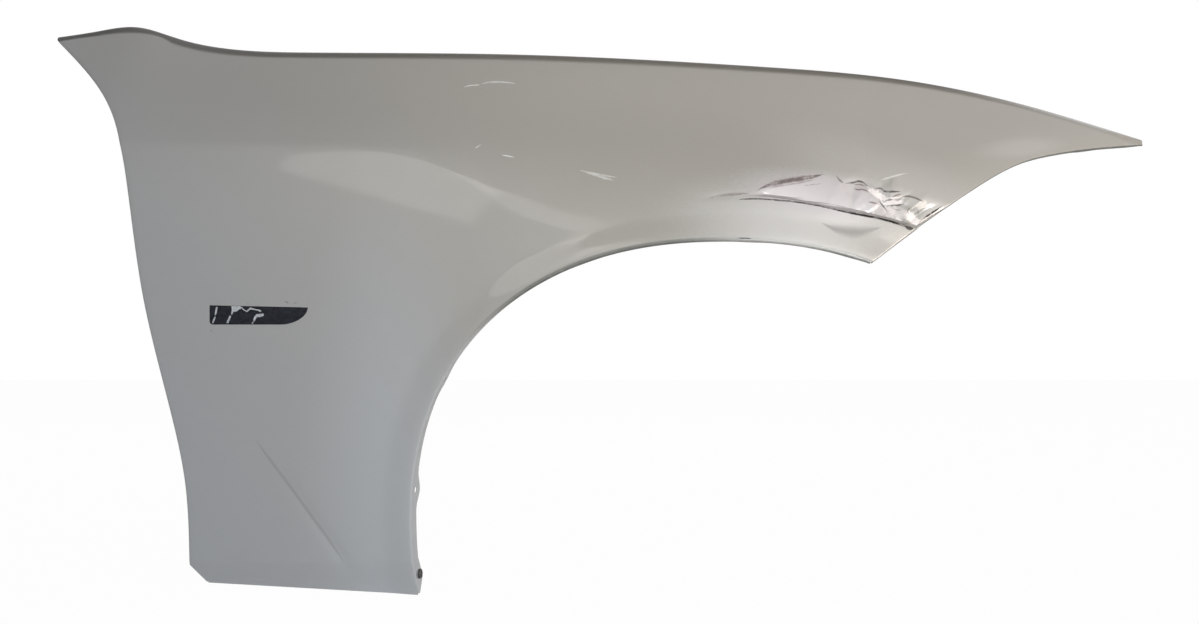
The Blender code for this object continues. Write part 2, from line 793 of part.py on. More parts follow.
def add_rod(bm, centre, facing, radius, length, stretch=1.0):
    """Closed rod for a hole, stretched along X for a slot."""
    squeeze = Matrix.Diagonal((stretch, 1.0, 1.0, 1.0))
    bmesh.ops.create_cone(
        bm,
        cap_ends=True,
        segments=HOLE_SIDES,
        radius1=radius,
        radius2=radius,
        depth=length,
        matrix=rod_transform(centre, facing) @ squeeze,
    )


def slot_outline(margin):
    """Outline of the side aperture in X and Z, grown by a margin, as a list of points."""
    foot = WIDEST_HEIGHT - SLOT_BELOW_WIDEST - margin
    rear = float(rear_x(WIDEST_HEIGHT)) + SLOT_SETBACK - margin
    nose_start = rear + SLOT_LENGTH - SLOT_NOSE + margin
    nose_rise = SLOT_HEIGHT - SLOT_TOP_FALL + 2 * margin
    points = [(rear, foot + SLOT_HEIGHT + 2 * margin)]
    for turn in np.linspace(math.pi, 1.5 * math.pi, CORNER_SIDES + 1):
        x = rear + SLOT_CORNER * (1.0 + math.cos(turn))
        z = foot + SLOT_CORNER * (1.0 + math.sin(turn))
        points.append((x, z))
    for turn in np.linspace(0.0, math.pi / 2, NOSE_SIDES + 1):
        x = nose_start + (SLOT_NOSE + margin) * math.sin(turn)
        z = foot + nose_rise * (1.0 - math.cos(turn)) ** SLOT_NOSE_POWER
        points.append((x, z))
    return points


def outline_solid(name, outline, near_y, far_y, collection):
    """Flat outline in X and Z as a filled curve, extruded from one depth to another."""
    curve = bpy.data.curves.new(name, "CURVE")
    curve.dimensions = "2D"
    curve.fill_mode = "BOTH"
    curve.extrude = (far_y - near_y) / 2
    line = curve.splines.new("POLY")
    line.points.add(len(outline) - 1)
    for point, (x, z) in zip(line.points, outline):
        point.co = (x, z, 0.0, 1.0)
    line.use_cyclic_u = True
    flat = bpy.data.objects.new(name + "_outline", curve)
    collection.objects.link(flat)
    flat.rotation_euler = (math.pi / 2, 0.0, 0.0)
    flat.location = (0.0, (near_y + far_y) / 2, 0.0)
    bpy.context.view_layer.update()
    graph = bpy.context.evaluated_depsgraph_get()
    mesh = bpy.data.meshes.new_from_object(flat.evaluated_get(graph))
    mesh.transform(flat.matrix_world)
    mesh.name = name
    bm = bmesh.new()
    bm.from_mesh(mesh)
    bmesh.ops.remove_doubles(bm, verts=bm.verts, dist=0.00001)
    bmesh.ops.recalc_face_normals(bm, faces=bm.faces)
    bm.to_mesh(mesh)
    bm.free()
    bpy.data.objects.remove(flat, do_unlink=True)
    solid = bpy.data.objects.new(name, mesh)
    collection.objects.link(solid)
    return solid


def make_holes(nets, cutters):
    """One cutter with every round hole and slot of the flanges."""
    reach = 4 * EDGE_BEND

    def build(bm):
        for index in range(len(PAD_CENTRES)):
            add_rod(bm, nets.pad_centre(index), (0, 0, 1), PAD_HOLE_RADIUS, reach)
        for index in range(len(TAB_HEIGHTS)):
            add_rod(bm, nets.tab_centre(index), (0, 1, 0), TAB_HOLE_RADIUS, reach)
        stretch = SILL_SLOT_LENGTH / (2 * SILL_SLOT_RADIUS)
        sill_length = edge_lengths(nets.sill_edge)[-1]
        for share in SILL_SLOT_SHARES:
            point, facing = nets.on_flange(nets.sill, nets.sill_edge, share * sill_length)
            add_rod(bm, point, facing, SILL_SLOT_RADIUS, reach, stretch)
        for length in arch_clip_lengths(nets.arch_edge):
            point, facing = nets.on_flange(nets.arch, nets.arch_edge, length)
            add_rod(bm, point, facing, CLIP_HOLE_RADIUS, reach)
        lamp_length = edge_lengths(nets.lamp_edge)[-1]
        for share in LAMP_CLIP_SHARES:
            point, facing = nets.on_flange(nets.lamp, nets.lamp_edge, share * lamp_length)
            add_rod(bm, point, facing, CLIP_HOLE_RADIUS, reach)

    cutter = mesh_object("flange_holes", build, cutters)
    hide_as_cutter(cutter)
    return cutter


def make_panel(nets, parts, cutters):
    """Pressed steel panel: the welded nets with the sheet's thickness, holes and aperture."""

    def build(bm):
        for net in (nets.leg, nets.crown, *nets.flanges()):
            add_net(bm, net)
        bmesh.ops.remove_doubles(bm, verts=bm.verts, dist=0.00001)

    panel = mesh_object("fender_panel", build, parts)
    add_solidify(panel, SHEET)
    add_boolean(panel, "DIFFERENCE", make_holes(nets, cutters))
    aperture = outline_solid("side_aperture", slot_outline(0.0), -0.01, 0.01, cutters)
    hide_as_cutter(aperture)
    add_boolean(panel, "DIFFERENCE", aperture)
    panel.data.materials.append(new_material("light_grey_paint", (0.50, 0.50, 0.49), 0.2, 0.25))
    return panel


def make_insert(parts, cutters):
    """Dark moulded insert: a face inside the aperture on a rim that seats behind the sheet."""
    rim_face = SHEET + GAP
    face_outline = slot_outline(-INSERT_CLEARANCE)
    rim_back = rim_face + INSERT_RIM_THICKNESS
    face_back = INSERT_RECESS + INSERT_THICKNESS
    insert = outline_solid("side_insert", face_outline, INSERT_RECESS, face_back, parts)
    rim = outline_solid("insert_rim", slot_outline(INSERT_RIM), rim_face, rim_back, cutters)
    hide_as_cutter(rim)
    add_boolean(insert, "UNION", rim)
    insert.data.materials.append(new_material("black_plastic", (0.015, 0.016, 0.022), 0.0, 0.35))
    return insert


def make_clip(nets, parts):
    """Push-in liner clip, a turned head and barbed stem in the lowest hole of the arch flange."""
    length = arch_clip_lengths(nets.arch_edge)[0]
    point, facing = nets.on_flange(nets.arch, nets.arch_edge, length)
    stem = CLIP_HOLE_RADIUS - GAP
    top = GAP + CLIP_HEAD_THICKNESS
    behind = -SHEET - 2 * GAP
    tip = behind - CLIP_STEM_LENGTH
    profile = [
        (0.0, top),
        (CLIP_CROWN_RADIUS, top),
        (CLIP_HEAD_RADIUS, GAP + CLIP_RIM_THICKNESS),
        (CLIP_HEAD_RADIUS, GAP),
        (stem, GAP),
        (stem, behind),
        (CLIP_BARB_RADIUS, behind - CLIP_BARB_LENGTH),
        (CLIP_TIP_RADIUS, tip),
        (0.0, tip),
    ]

    def build(bm):
        verts = [bm.verts.new((radius, 0.0, height)) for radius, height in profile]
        for start, end in zip(verts, verts[1:]):
            bm.edges.new((start, end))

    clip = mesh_object("liner_clip", build, parts)
    modifier = clip.modifiers.new("Turned", "SCREW")
    modifier.steps = HOLE_SIDES
    modifier.render_steps = HOLE_SIDES
    modifier.use_merge_vertices = True
    modifier.merge_threshold = 0.00005
    clip.matrix_world = rod_transform(point, facing)
    clip.data.materials.append(new_material("clip_plastic", (0.02, 0.02, 0.02), 0.0, 0.6))
    return clip


def move_to_origin(collections, origin):
    """Move every piece and cutter so that the bonnet flange's middle pad is at the origin."""
    for collection in collections:
        for obj in collection.objects:
            for axis in range(3):
                obj.location[axis] -= origin[axis]


def main():
    clear_scene()
    parts = new_collection("front_fender")
    cutters = new_collection("front_fender_cutters")
    nets = PanelNets()
    make_panel(nets, parts, cutters)
    make_insert(parts, cutters)
    make_clip(nets, parts)
    move_to_origin((parts, cutters), nets.origin())


main()
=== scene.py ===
"""Looks of the front right car fender.

The pressed panel is built again on a fine net, with its crash damage in full detail, and it
gets its paint. The insert, the film left on it and the liner clip follow, then a pale floor,
soft light and the camera. Sizes are in metres where no comment says millimetres, and the layout
is measured from the centre of the wheel arch, as in the part.
"""

import math
from functools import cached_property

import bmesh
import bpy
import numpy as np
from mathutils import Matrix, Vector
from mathutils.geometry import delaunay_2d_cdt


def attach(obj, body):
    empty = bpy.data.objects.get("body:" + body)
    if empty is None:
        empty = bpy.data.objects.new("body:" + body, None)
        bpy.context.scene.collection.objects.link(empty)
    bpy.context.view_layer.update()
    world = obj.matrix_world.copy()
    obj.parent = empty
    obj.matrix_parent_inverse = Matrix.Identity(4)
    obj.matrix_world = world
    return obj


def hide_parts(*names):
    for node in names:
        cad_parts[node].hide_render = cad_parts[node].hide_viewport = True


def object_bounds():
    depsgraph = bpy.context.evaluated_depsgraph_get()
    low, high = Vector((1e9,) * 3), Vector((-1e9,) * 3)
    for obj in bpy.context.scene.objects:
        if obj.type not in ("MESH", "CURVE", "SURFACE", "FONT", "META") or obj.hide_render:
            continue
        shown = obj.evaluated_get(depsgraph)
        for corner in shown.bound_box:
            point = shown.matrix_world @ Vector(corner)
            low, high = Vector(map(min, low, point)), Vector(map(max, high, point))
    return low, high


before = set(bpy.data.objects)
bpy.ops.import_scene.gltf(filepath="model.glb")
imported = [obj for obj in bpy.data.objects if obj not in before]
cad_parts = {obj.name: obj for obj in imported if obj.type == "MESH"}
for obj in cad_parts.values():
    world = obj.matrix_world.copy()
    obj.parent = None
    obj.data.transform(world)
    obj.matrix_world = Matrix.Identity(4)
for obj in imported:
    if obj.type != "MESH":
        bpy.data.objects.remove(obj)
cad_box = [list(corner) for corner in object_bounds()]

MM_PER_M = 1000.0

# Sheet and bends
SHEET = 0.0008
EDGE_BEND = 0.0022
BONNET_BEND = 0.003
GAP = 0.0003

# Wheel arch, half a superellipse about the layout's centre
ARCH_HALF_WIDTH = 0.366
ARCH_RISE = 0.333
ARCH_EXPONENT = 2.27

# Corners of the outline, measured from the arch centre
HORN_REACH = 0.805
HORN_HEIGHT = 0.584
TIP_REACH = 0.545
TIP_HEIGHT = 0.4715
TIP_THICKNESS = 0.008
NOSE_CORNER_REACH = 0.167
SILL_REACH = 0.627
SILL_LINE_DROP = 0.043
SILL_DROP = 0.067
SILL_CHAMFER = 0.019
SILL_FALL = 0.064

# Bows of the edges off their chords: share of the chord, distance off it
TOP_BOW = (
    (0.035, 0.011),
    (0.072, 0.020),
    (0.107, 0.0105),
    (0.144, 0.0035),
    (0.225, 0.0065),
    (0.410, 0.0255),
    (0.627, 0.039),
    (0.760, 0.042),
    (0.870, 0.030),
)
REAR_BOW = (
    (0.157, 0.027),
    (0.269, 0.035),
    (0.490, 0.042),
    (0.710, 0.060),
    (0.794, 0.064),
    (0.885, 0.0515),
)
LAMP_BOW = (
    (0.151, 0.0175),
    (0.355, 0.0365),
    (0.500, 0.043),
    (0.648, 0.036),
)

# Shoulder line, sharp at the door and soft above the wheel
SHOULDER_REAR_REACH = 0.700
SHOULDER_REAR_HEIGHT = 0.447
SHOULDER_FRONT_HEIGHT = 0.364
SHOULDER_BOW = (
    (0.187, 0.012),
    (0.373, 0.022),
    (0.505, 0.010),
    (0.616, -0.004),
    (0.717, -0.0025),
    (0.860, 0.003),
)
SHOULDER_SHARP = 0.006
SHOULDER_SOFT = 0.060
SHOULDER_FADE_REAR = 0.40
SHOULDER_FADE_FRONT = 0.16
SHOULDER_NOSE_BOW = ((0.20, -0.004), (0.50, 0.006), (0.80, 0.006))

# Depth of the skin behind its outermost face
WIDEST_HEIGHT = 0.250
FLANK_CURVE = 0.166
SILL_TUCK = 0.034
SILL_TUCK_POWER = 2.2
SILL_LINE_SLOPE = 0.35
SILL_LINE_RADIUS = 0.004
CROWN_STRAIGHT = 0.72
BONNET_LINE_HORN = 0.098
BONNET_LINE_TIP = 0.207
BONNET_LINE_BOW = ((0.33, -0.038), (0.60, -0.047), (0.78, -0.033))
ROLL_HEIGHT = 0.010
ROLL_DEPTH = 0.014
ROLL_TIP_SHARE = 0.30
NOSE_INSET = 0.185
NOSE_POWER = 1.9
FLARE_WIDTH = 0.032
FLARE_HEIGHT = 0.003

# Slanting valley pressed into the leg
VALLEY_TOP = (-0.545, 0.111)
VALLEY_FOOT = (-0.442, -0.044)
VALLEY_HALF_WIDTH = 0.0065
VALLEY_DEPTH = 0.0013
VALLEY_RUN_IN = 0.80
VALLEY_RUN_OUT = 0.12
VALLEY_RUN_OUT_LEAD = 0.5

# Crash damage: a fold from above the wheel to the headlamp edge, and the dent over it
FOLD_REAR_X = 0.005
FOLD_FRONT_X = 0.222
FOLD_REAR_Z = 0.380
FOLD_FRONT_Z = 0.350
FOLD_BOW = ((0.16, 0.009), (0.36, 0.010), (0.53, 0.008), (0.78, 0.0055))
FOLD_STEP = 0.004
FOLD_LIP = 0.0027
FOLD_LIP_REACH = 0.022
DENT_DEPTH = 0.010
DENT_RUN_IN = 0.100

# Folded flanges
DOOR_FLANGE = 0.018
ARCH_FLANGE = 0.016
ARCH_FLANGE_LEAN = 0.25
LAMP_FLANGE = 0.012
SILL_FLANGE = 0.022
FLANGE_END = 0.0006
FLANGE_RUN_OUT = 0.030
LOBE_EXTRA = 0.010
LOBE_HALF_LENGTH = 0.024

# Bonnet flange: a wall down from the top edge, then a ledge with flat screw pads
BONNET_WALL = 0.022
BONNET_WALL_HORN = 0.004
BONNET_WALL_TIP = 0.005
BONNET_LEDGE = 0.026
BONNET_LEDGE_END = 0.004
BONNET_RUN_OUT = 0.090
PAD_CENTRES = (-0.700, -0.400, -0.080, 0.190, 0.390)
PAD_HALF_LENGTH = 0.020
PAD_HOLE_RADIUS = 0.0045
ORIGIN_FROM_HOLE = 0.0125

# Door-side tabs, each with a screw hole
TAB_HEIGHTS = (0.015, 0.330)
TAB_HALF_HEIGHT = 0.018
TAB_LENGTH = 0.024
TAB_BEND = 0.0015
TAB_HOLE_RADIUS = 0.004

# Slots in the sill flange and clip holes in the arch and headlamp flanges
SILL_SLOT_SHARES = (0.30, 0.72)
SILL_SLOT_LENGTH = 0.012
SILL_SLOT_RADIUS = 0.0035
ARCH_CLIP_ANGLES = (189, 173, 152, 118, 85)
LAMP_CLIP_SHARES = (0.22, 0.55)
CLIP_HOLE_RADIUS = 0.0035
CLIP_HOLE_INBOARD = 0.014

# Side aperture
SLOT_SETBACK = 0.071
SLOT_LENGTH = 0.113
SLOT_HEIGHT = 0.0222
SLOT_BELOW_WIDEST = 0.0130
SLOT_TOP_FALL = 0.0025
SLOT_NOSE = 0.030
SLOT_NOSE_POWER = 0.9
SLOT_CORNER = 0.004

# Insert that closes the aperture
INSERT_CLEARANCE = 0.0004
INSERT_RECESS = 0.0006
INSERT_THICKNESS = 0.0030
INSERT_RIM = 0.005
INSERT_RIM_THICKNESS = 0.0015

# Liner clip in the foot of the arch flange
CLIP_HEAD_RADIUS = 0.0060
CLIP_HEAD_THICKNESS = 0.0020
CLIP_CROWN_RADIUS = 0.0042
CLIP_RIM_THICKNESS = 0.0008
CLIP_STEM_LENGTH = 0.0085
CLIP_BARB_RADIUS = 0.0042
CLIP_BARB_LENGTH = 0.0026
CLIP_TIP_RADIUS = 0.0016

# Net of faces: spacing, the row line's place at the nose, and rounds to find a crossing
ROW_NOSE_SHARE = 0.20
ROW_NOSE_BLEND = 0.075
ROW_NOSE_LEAD = 0.3
SETTLE_ROUNDS = 40
COLUMN_STEP = 0.0055
DENT_COLUMN_STEP = 0.0018
LEG_ROW_STEP = 0.0055
SILL_ROWS = 2
ARCH_ROWS = 38
CROWN_ROWS = 46
CROWN_ROW_POWER = 1.4
ROLL_ROWS = 4
BEND_STEPS = 4
LEDGE_BEND_STEPS = 3
HOLE_SIDES = 32
CORNER_SIDES = 8
NOSE_SIDES = 20
ROUNDING_STEPS = 3
FACET_TOLERANCE = 0.000001
WELD_DISTANCE = 0.00001
CUTTER_REACH = 0.01
HOLE_CUTTER_LENGTH = 4 * EDGE_BEND
PANEL_SHARP_ANGLE = 32
PIECE_SHARP_ANGLE = 35

# Crash damage in full detail. A crumple corner is x, z and depth in millimetres, and a pressed
# oval is its centre, reach, height and slant
DENT_TOP_REAR = (0.000, 0.3815)
DENT_TOP_FRONT = (0.262, 0.3790)
DENT_TOP_BOW = (
    (0.126, 0.0088),
    (0.260, 0.0242),
    (0.440, 0.0336),
    (0.576, 0.0315),
    (0.695, 0.0252),
    (0.800, 0.0178),
    (0.900, 0.0080),
)
DENT_LEAST_HEIGHT = 0.002
DENT_CREASE_SHARE = 0.10
CRUMPLE_GAIN = 1.1
CRUMPLE_CORNERS = (
    (122, 419, 0),
    (160, 421, 0),
    (200, 412, 0),
    (240, 394, 0),
    (262, 380, 0),
    (118, 376, 0),
    (146, 368.5, 0),
    (173, 363, 0),
    (191, 358.5, 0),
    (218, 351, 0),
    (136, 403, -0.8),
    (151, 401, 0.7),
    (150, 411, -0.7),
    (162, 396, -1.1),
    (169, 404, 1.9),
    (176, 389, -1.0),
    (185, 379, 2.0),
    (182, 397, 2.0),
    (196, 394, -2.0),
    (195, 384, -1.6),
    (203, 377, 2.4),
    (212, 388, 1.0),
    (212, 366, -2.4),
    (222, 375, -0.4),
    (222, 362, 2.0),
    (232, 383, -0.7),
    (236, 372, 0.8),
    (200, 366, 1.2),
)
WRINKLE_PITCH = 0.0085
WRINKLE_SLANT = 0.4
CROSS_WRINKLE_PITCH = 0.01105
CROSS_WRINKLE_SLANT = -0.7
WRINKLE_DEPTH = 0.00014
WRINKLE_ONSET = 0.0008
PRESSED = ((0.144, 0.3530), 0.046, 0.0190, -0.06)
PRESSED_DEPTH = 0.0010
DIMPLE = ((0.148, 0.391), 0.016, 0.0065, -0.10)
DIMPLE_DEPTH = 0.0005
RUN_IN_CREASE = ((-0.006, 0.3855), 0.034, 0.0060, 0.13)
RUN_IN_DEPTH = 0.0008

# Details of the small pieces. A film flake is its (x, z) corners in millimetres
INSERT_ROUNDING = 0.0005
CLIP_DISH = 0.0006
CLIP_DISH_RADIUS = 0.00294
CLIP_DISH_RIM_RADIUS = 0.00336
CLIP_CROWN_STEPS = 4
CLIP_WELD = 0.00005
FILM_THICKNESS = 0.00018
FILM_FLAKES = (
    (
        (-588.6, 257.4), (-586.8, 256.9), (-587.7, 251.7), (-589.0, 247.7), (-590.2, 248.0),
        (-589.7, 252.4),
    ),
    (
        (-590.0, 246.4), (-589.1, 245.9), (-590.6, 241.5), (-591.8, 238.5), (-593.1, 239.0),
        (-592.2, 242.6),
    ),
    (
        (-571.1, 258.2), (-561.3, 258.2), (-558.4, 256.7), (-559.7, 255.2), (-562.4, 254.3),
        (-564.9, 252.1), (-568.8, 251.7), (-569.8, 248.8), (-571.4, 248.4), (-570.5, 254.0),
    ),
    (
        (-558.4, 256.7), (-556.9, 254.9), (-553.7, 252.7), (-551.3, 254.9), (-549.4, 256.7),
        (-544.1, 255.0), (-539.0, 254.2), (-536.5, 253.1), (-537.6, 251.5), (-540.9, 253.1),
        (-549.1, 254.5), (-553.3, 251.2), (-558.6, 254.7),
    ),
    (
        (-534.5, 249.8), (-533.4, 247.9), (-535.8, 246.2), (-538.7, 245.5), (-541.6, 245.9),
        (-543.4, 243.0), (-544.8, 240.3), (-545.9, 240.8), (-545.6, 243.7), (-544.5, 246.4),
        (-542.1, 248.9), (-538.1, 249.3),
    ),
    (
        (-546.8, 239.9), (-545.5, 239.4), (-546.6, 238.1), (-548.1, 238.3),
    ),
    (
        (-573.2, 247.3), (-571.2, 246.9), (-573.0, 242.4), (-574.4, 238.6), (-577.0, 239.0),
        (-575.4, 242.3),
    ),
)

# Colours, linear
# Paint grey with painted light: cool low down and to the rear, warm high up and to the front
PAINT_AND_PAINTED_COOL_LIGHT = (0.284, 0.293, 0.312, 1.0)
PAINT_AND_PAINTED_WARM_LIGHT = (0.313, 0.286, 0.247, 1.0)
PAINT_FLAKE = (0.60, 0.60, 0.58, 1.0)
DUST = (0.40, 0.37, 0.32, 1.0)
# Painted highlight: pale tone where light falls on the lower panel, the crumple and the nose
PAINTED_PALE_LIGHT = (0.56, 0.53, 0.50, 1.0)
# Pinkish stressed paint in the dent, made paler with painted light
STRESSED_PAINT_AND_PAINTED_LIGHT = (0.50, 0.45, 0.46, 1.0)
# Painted dark reflection on the rolled top edge
PAINTED_DARK_REFLECTION = (0.060, 0.058, 0.055, 1.0)
PRIMER = (0.170, 0.175, 0.180, 1.0)
OVERSPRAY = (0.34, 0.335, 0.32, 1.0)
ROAD_DIRT = (0.23, 0.19, 0.14, 1.0)
INSERT_BLACK = (0.010, 0.011, 0.017, 1.0)
INSERT_DUST = (0.10, 0.11, 0.13, 1.0)
FILM_LIGHT = (0.52, 0.53, 0.54, 1.0)
FILM_DARK = (0.30, 0.31, 0.32, 1.0)
CLIP_BLACK = (0.012, 0.012, 0.012, 1.0)
CLIP_DUST = (0.09, 0.08, 0.07, 1.0)
# Road dirt with painted shade on faces that turn away and on the arch rim
FLANGE_DIRT_AND_SHADE = (0.120, 0.122, 0.112, 1.0)

# Where the painted cool and warm light on the paint, the painted dark reflection on the roll
# and the dirt with painted shade lie. The first three ranges of the dirt and shade are parts of
# the surface's normal. A crazed patch is its centre, reach and height in millimetres, slant,
# softness of the rim and strength
PAINTED_LIGHT_TINT_SLOPE = 1.24
PAINTED_LIGHT_TINT_CLOUD = 0.20
PAINTED_LIGHT_TINT_LEVELS = (-0.85, 0.40)
TOP_LINE_KNOTS = 28
ROLL_DARK_REFLECTION_LEVELS = (-0.0120, -0.0085)
ROLL_DARK_REFLECTION_SHARE = 0.29
ROLL_DARK_REFLECTION_FADE = (0.25, 0.50, 1.0, 0.35)
SIDE_ON_RANGE = (-0.40, -0.12)
UNDER_RANGE = (-0.08, -0.34)
LEVEL_RANGE = (0.60, 0.20)
SIDE_DIRT_AND_SHADE = 0.66
DIRT_AND_SHADE_SHARE = 0.94
RIM_RATIOS = (1.0100, 1.0025)
RIM_DIRT_AND_SHADE = 0.75
UNDER_HEIGHTS = (0.20, 0.28)
CRAZED_PATCHES = (
    ((120, 386), 130, 30, -0.12, 0.5, 0.45),
    ((198, 385), 60, 32, -0.50, 0.4, 0.50),
)

# Noises are a scale in cells a metre, detail, stretch and roughness. Levels are where a pattern
# starts and ends, and its values there where they aren't 0 and 1
EVEN = (1.0, 1.0, 1.0)
NOISE_MIDDLE = 0.5
NOISE_ROUGHNESS = 0.5
RAGGED_NOISE = (560.0, 5.0, (0.45, 1.0, 1.0), 0.65)
PATCHY_NOISE = (260.0, 5.0, (0.35, 1.0, 1.0), 0.7)
PATCHY_LEVELS = (0.36, 0.54, 0.5, 1.0)
TINT_NOISE = (5.0, 3.0)
FLAKE_NOISE = (2600.0, 1.0)
FLAKE_LEVELS = (0.30, 0.74)
FLAKE_SHARE = 0.08
DUST_NOISE = (26.0, 5.0, (1.0, 1.0, 2.5), 0.7)
DUST_LEVELS = (0.48, 0.80)
DUST_SHARE = 0.08
DIRT_AND_SHADE_NOISE = (60.0, 5.0, EVEN, 0.65)
DIRT_AND_SHADE_LEVELS = (0.25, 0.60, 0.80, 1.0)
PEEL_NOISE = (230.0, 1.0)
PEEL_HEIGHT = 0.000012
GRAIN_HEIGHT = 0.000025
BROKEN_DEPTH = -1.5
LINE_CORE = 0.35
LINE_LEAST = 0.0001
LINE_FADE = 0.25
SPOT_RAGGED = 0.5
GLINT_RAGGED = 2.4
SPRAY_NOISE = (14.0, 5.0, EVEN, 0.6)
ARCH_SPRAY_CLOUD = 0.10
ARCH_SPRAY_RATIOS = (1.16, 1.02)
TOP_SPRAY_CLOUD = 0.03
TOP_SPRAY_LEVELS = (-0.060, -0.015)
SPRAY_SHARE = 0.8
SPRAY_CLOUD = 0.4
DIRT_HEIGHTS = (0.40, 0.0)
LOW_DIRT_SHARE = 0.65
DIRT_SHARE = 0.15
SPLASH_NOISE = (75.0, 7.0, (1.0, 1.0, 0.45), 0.72)
SPLASH_LEVELS = (0.44, 0.66)
SPECK_NOISE = (520.0, 4.0, EVEN, 0.7)
SPECK_LEVELS = (0.50, 0.68)
PRIMER_NOISE = (700.0, 3.0)
PRIMER_GRAIN = 0.00005
HAZE_NOISE = (90.0, 5.0, (1.0, 1.0, 1.6), 0.7)
HAZE_LEVELS = (0.42, 0.80)
HAZE_SHARE = 0.10
SCRATCH_NOISE = (900.0, 2.0, (0.06, 1.0, 1.0))
SCRATCH_LEVELS = (0.66, 0.74)
SCRATCH_SHARE = 0.25
INSERT_NOISE = (1500.0, 2.0)
INSERT_GRAIN = 0.00002

# Shine: each roughness, and what dust, dirt with painted shade, broken paint, painted glints
# and the painted dark reflection on the roll change
PAINT_METALLIC = 0.15
PAINT_ROUGHNESS = 0.34
DUST_ROUGHNESS = 0.10
DULL_ROUGHNESS = 0.30
COAT_ROUGHNESS = 0.045
PAINT_SPECULAR = 0.5
DULL_SPECULAR_LOSS = 0.47
DULL_COAT_LOSS = 0.95
PRIMER_ROUGHNESS = 0.40
DIRT_ROUGHNESS = 0.40
INSERT_ROUGHNESS = 0.26
HAZE_ROUGHNESS = 0.25
INSERT_SPECULAR = 0.16

# Stain noise and levels, clean and stained tone, roughness, noise and height of the grain
FILM_LOOK = ((420.0, 4.0), (0.35, 0.70), FILM_LIGHT, FILM_DARK, 0.55, (1800.0, 3.0), 0.00004)
CLIP_LOOK = ((260.0, 5.0), (0.42, 0.75), CLIP_BLACK, CLIP_DUST, 0.62, (2400.0, 3.0), 0.00006)

# Marks in the paint, painted shades and painted glints: (x, z) knots, half width, raggedness
# and taper in millimetres, strength, colour
INK = (0.012, 0.009, 0.008, 1.0)
DARK_BROWN = (0.040, 0.028, 0.025, 1.0)
BROWN = (0.100, 0.068, 0.062, 1.0)
MAUVE = (0.170, 0.130, 0.125, 1.0)
SHADE = (0.165, 0.155, 0.145, 1.0)
# Painted glint on the crumpled facets
PAINTED_GLINT_WHITE = (0.78, 0.71, 0.675, 1.0)
# Painted glint on the paint
PAINTED_GLINT_PALE = (0.84, 0.83, 0.79, 1.0)
# The fold lines: cracked paint, and painted shadow in the fold
FOLD_MARKS = (
    (((15, 384.6), (29, 386.3), (43, 386), (69, 382.3), (107, 379.5), (160, 369.2), (223, 353.1)),
     0.8, 1.6, 30, 0.58, MAUVE),
    (((9, 380.5), (23, 382.1), (69, 379.9), (101, 375.6), (150, 365.3), (191, 358.6), (219, 348.8)),
     1.2, 2.0, 20, 0.95, DARK_BROWN),
    (((118, 371), (150, 365.8), (171, 362), (191, 357.6), (206, 352.6), (218, 349.5)),
     1.9, 1.8, 30, 1.0, INK),
    (((208, 352.2), (214, 350), (221, 349)), 3.4, 1.5, 5, 0.90, DARK_BROWN),
)
SCUFF_MARKS = (
    (((30, 388.2), (43, 396.4), (58, 401.2), (70, 403.9), (86, 406.6), (103, 409.6), (120, 414.4)),
     4.4, 4.0, 30, 0.85, BROWN),
    (((43, 393), (58, 397), (70, 399.1), (86, 402.1), (109, 407.2)), 1.2, 3.0, 22, 0.60, MAUVE),
    (((88, 398.6), (103, 400.3), (114, 402)), 0.8, 2.4, 10, 0.50, MAUVE),
    (((-26, 380), (-11, 385.7), (3, 387.4), (17, 388.2), (31, 389.2)), 2.6, 4.0, 24, 0.60, MAUVE),
    (((10, 336.2), (20, 336.3), (29, 334.8)), 0.8, 1.0, 6, 0.90, INK),
)
CRUMPLE_MARKS = (
    (((128, 414), (133, 406.4), (139, 402.4)), 1.8, 0.8, 5, 0.75, BROWN),
    (((138, 402), (149.5, 403.3), (158, 404.9), (165.6, 400.9), (171, 395)),
     1.6, 1.4, 12, 0.85, DARK_BROWN),
    (((150, 399), (154, 401.2), (159, 401), (165, 397.6)), 1.0, 1.0, 5, 0.75, BROWN),
    (((150, 399.6), (154, 395), (161.4, 395), (170, 391)), 1.2, 1.0, 5, 0.85, BROWN),
    (((173, 394.8), (181.5, 397.2), (188.6, 393.2), (198.5, 393), (210, 393.7)),
     1.6, 1.2, 14, 0.85, DARK_BROWN),
    (((195, 386.2), (203.4, 389.2), (209, 390.6)), 1.2, 1.0, 6, 0.75, BROWN),
    (((205, 384), (214.7, 387.9), (223, 386.5), (230.6, 383.4), (238, 380.2)),
     1.6, 1.2, 12, 0.80, BROWN),
    (((179.5, 384), (184, 378.4), (188, 373.6), (192.4, 367.8)), 2.0, 1.0, 5, 0.80, DARK_BROWN),
    (((165, 380.6), (174, 379.7), (183.5, 376.2)), 1.6, 1.4, 8, 0.75, MAUVE),
    (((183.5, 376.6), (190, 382.2), (200, 383.4)), 1.2, 1.0, 6, 0.75, BROWN),
    (((188, 376), (199.5, 377), (213, 378.4)), 1.3, 0.8, 8, 0.90, DARK_BROWN),
    (((198, 373.7), (203, 371.7), (209, 371.1)), 1.0, 0.8, 5, 0.60, BROWN),
    (((211.6, 362.4), (214.2, 369), (219, 374.6)), 2.3, 1.0, 4, 0.75, BROWN),
    (((226.6, 374), (228.4, 369.4), (230, 364)), 2.9, 0.8, 2, 0.70, BROWN),
    (((226, 353.8), (234, 361), (243.4, 367.4), (251.4, 372.5), (261, 379.2)), 1.8, 0.8, 14, 1.0, INK),
    (((221, 349.1), (234, 357.6), (244.7, 364.9), (256.4, 371.8), (264, 377.2)),
     0.8, 0.6, 14, 0.80, BROWN),
)
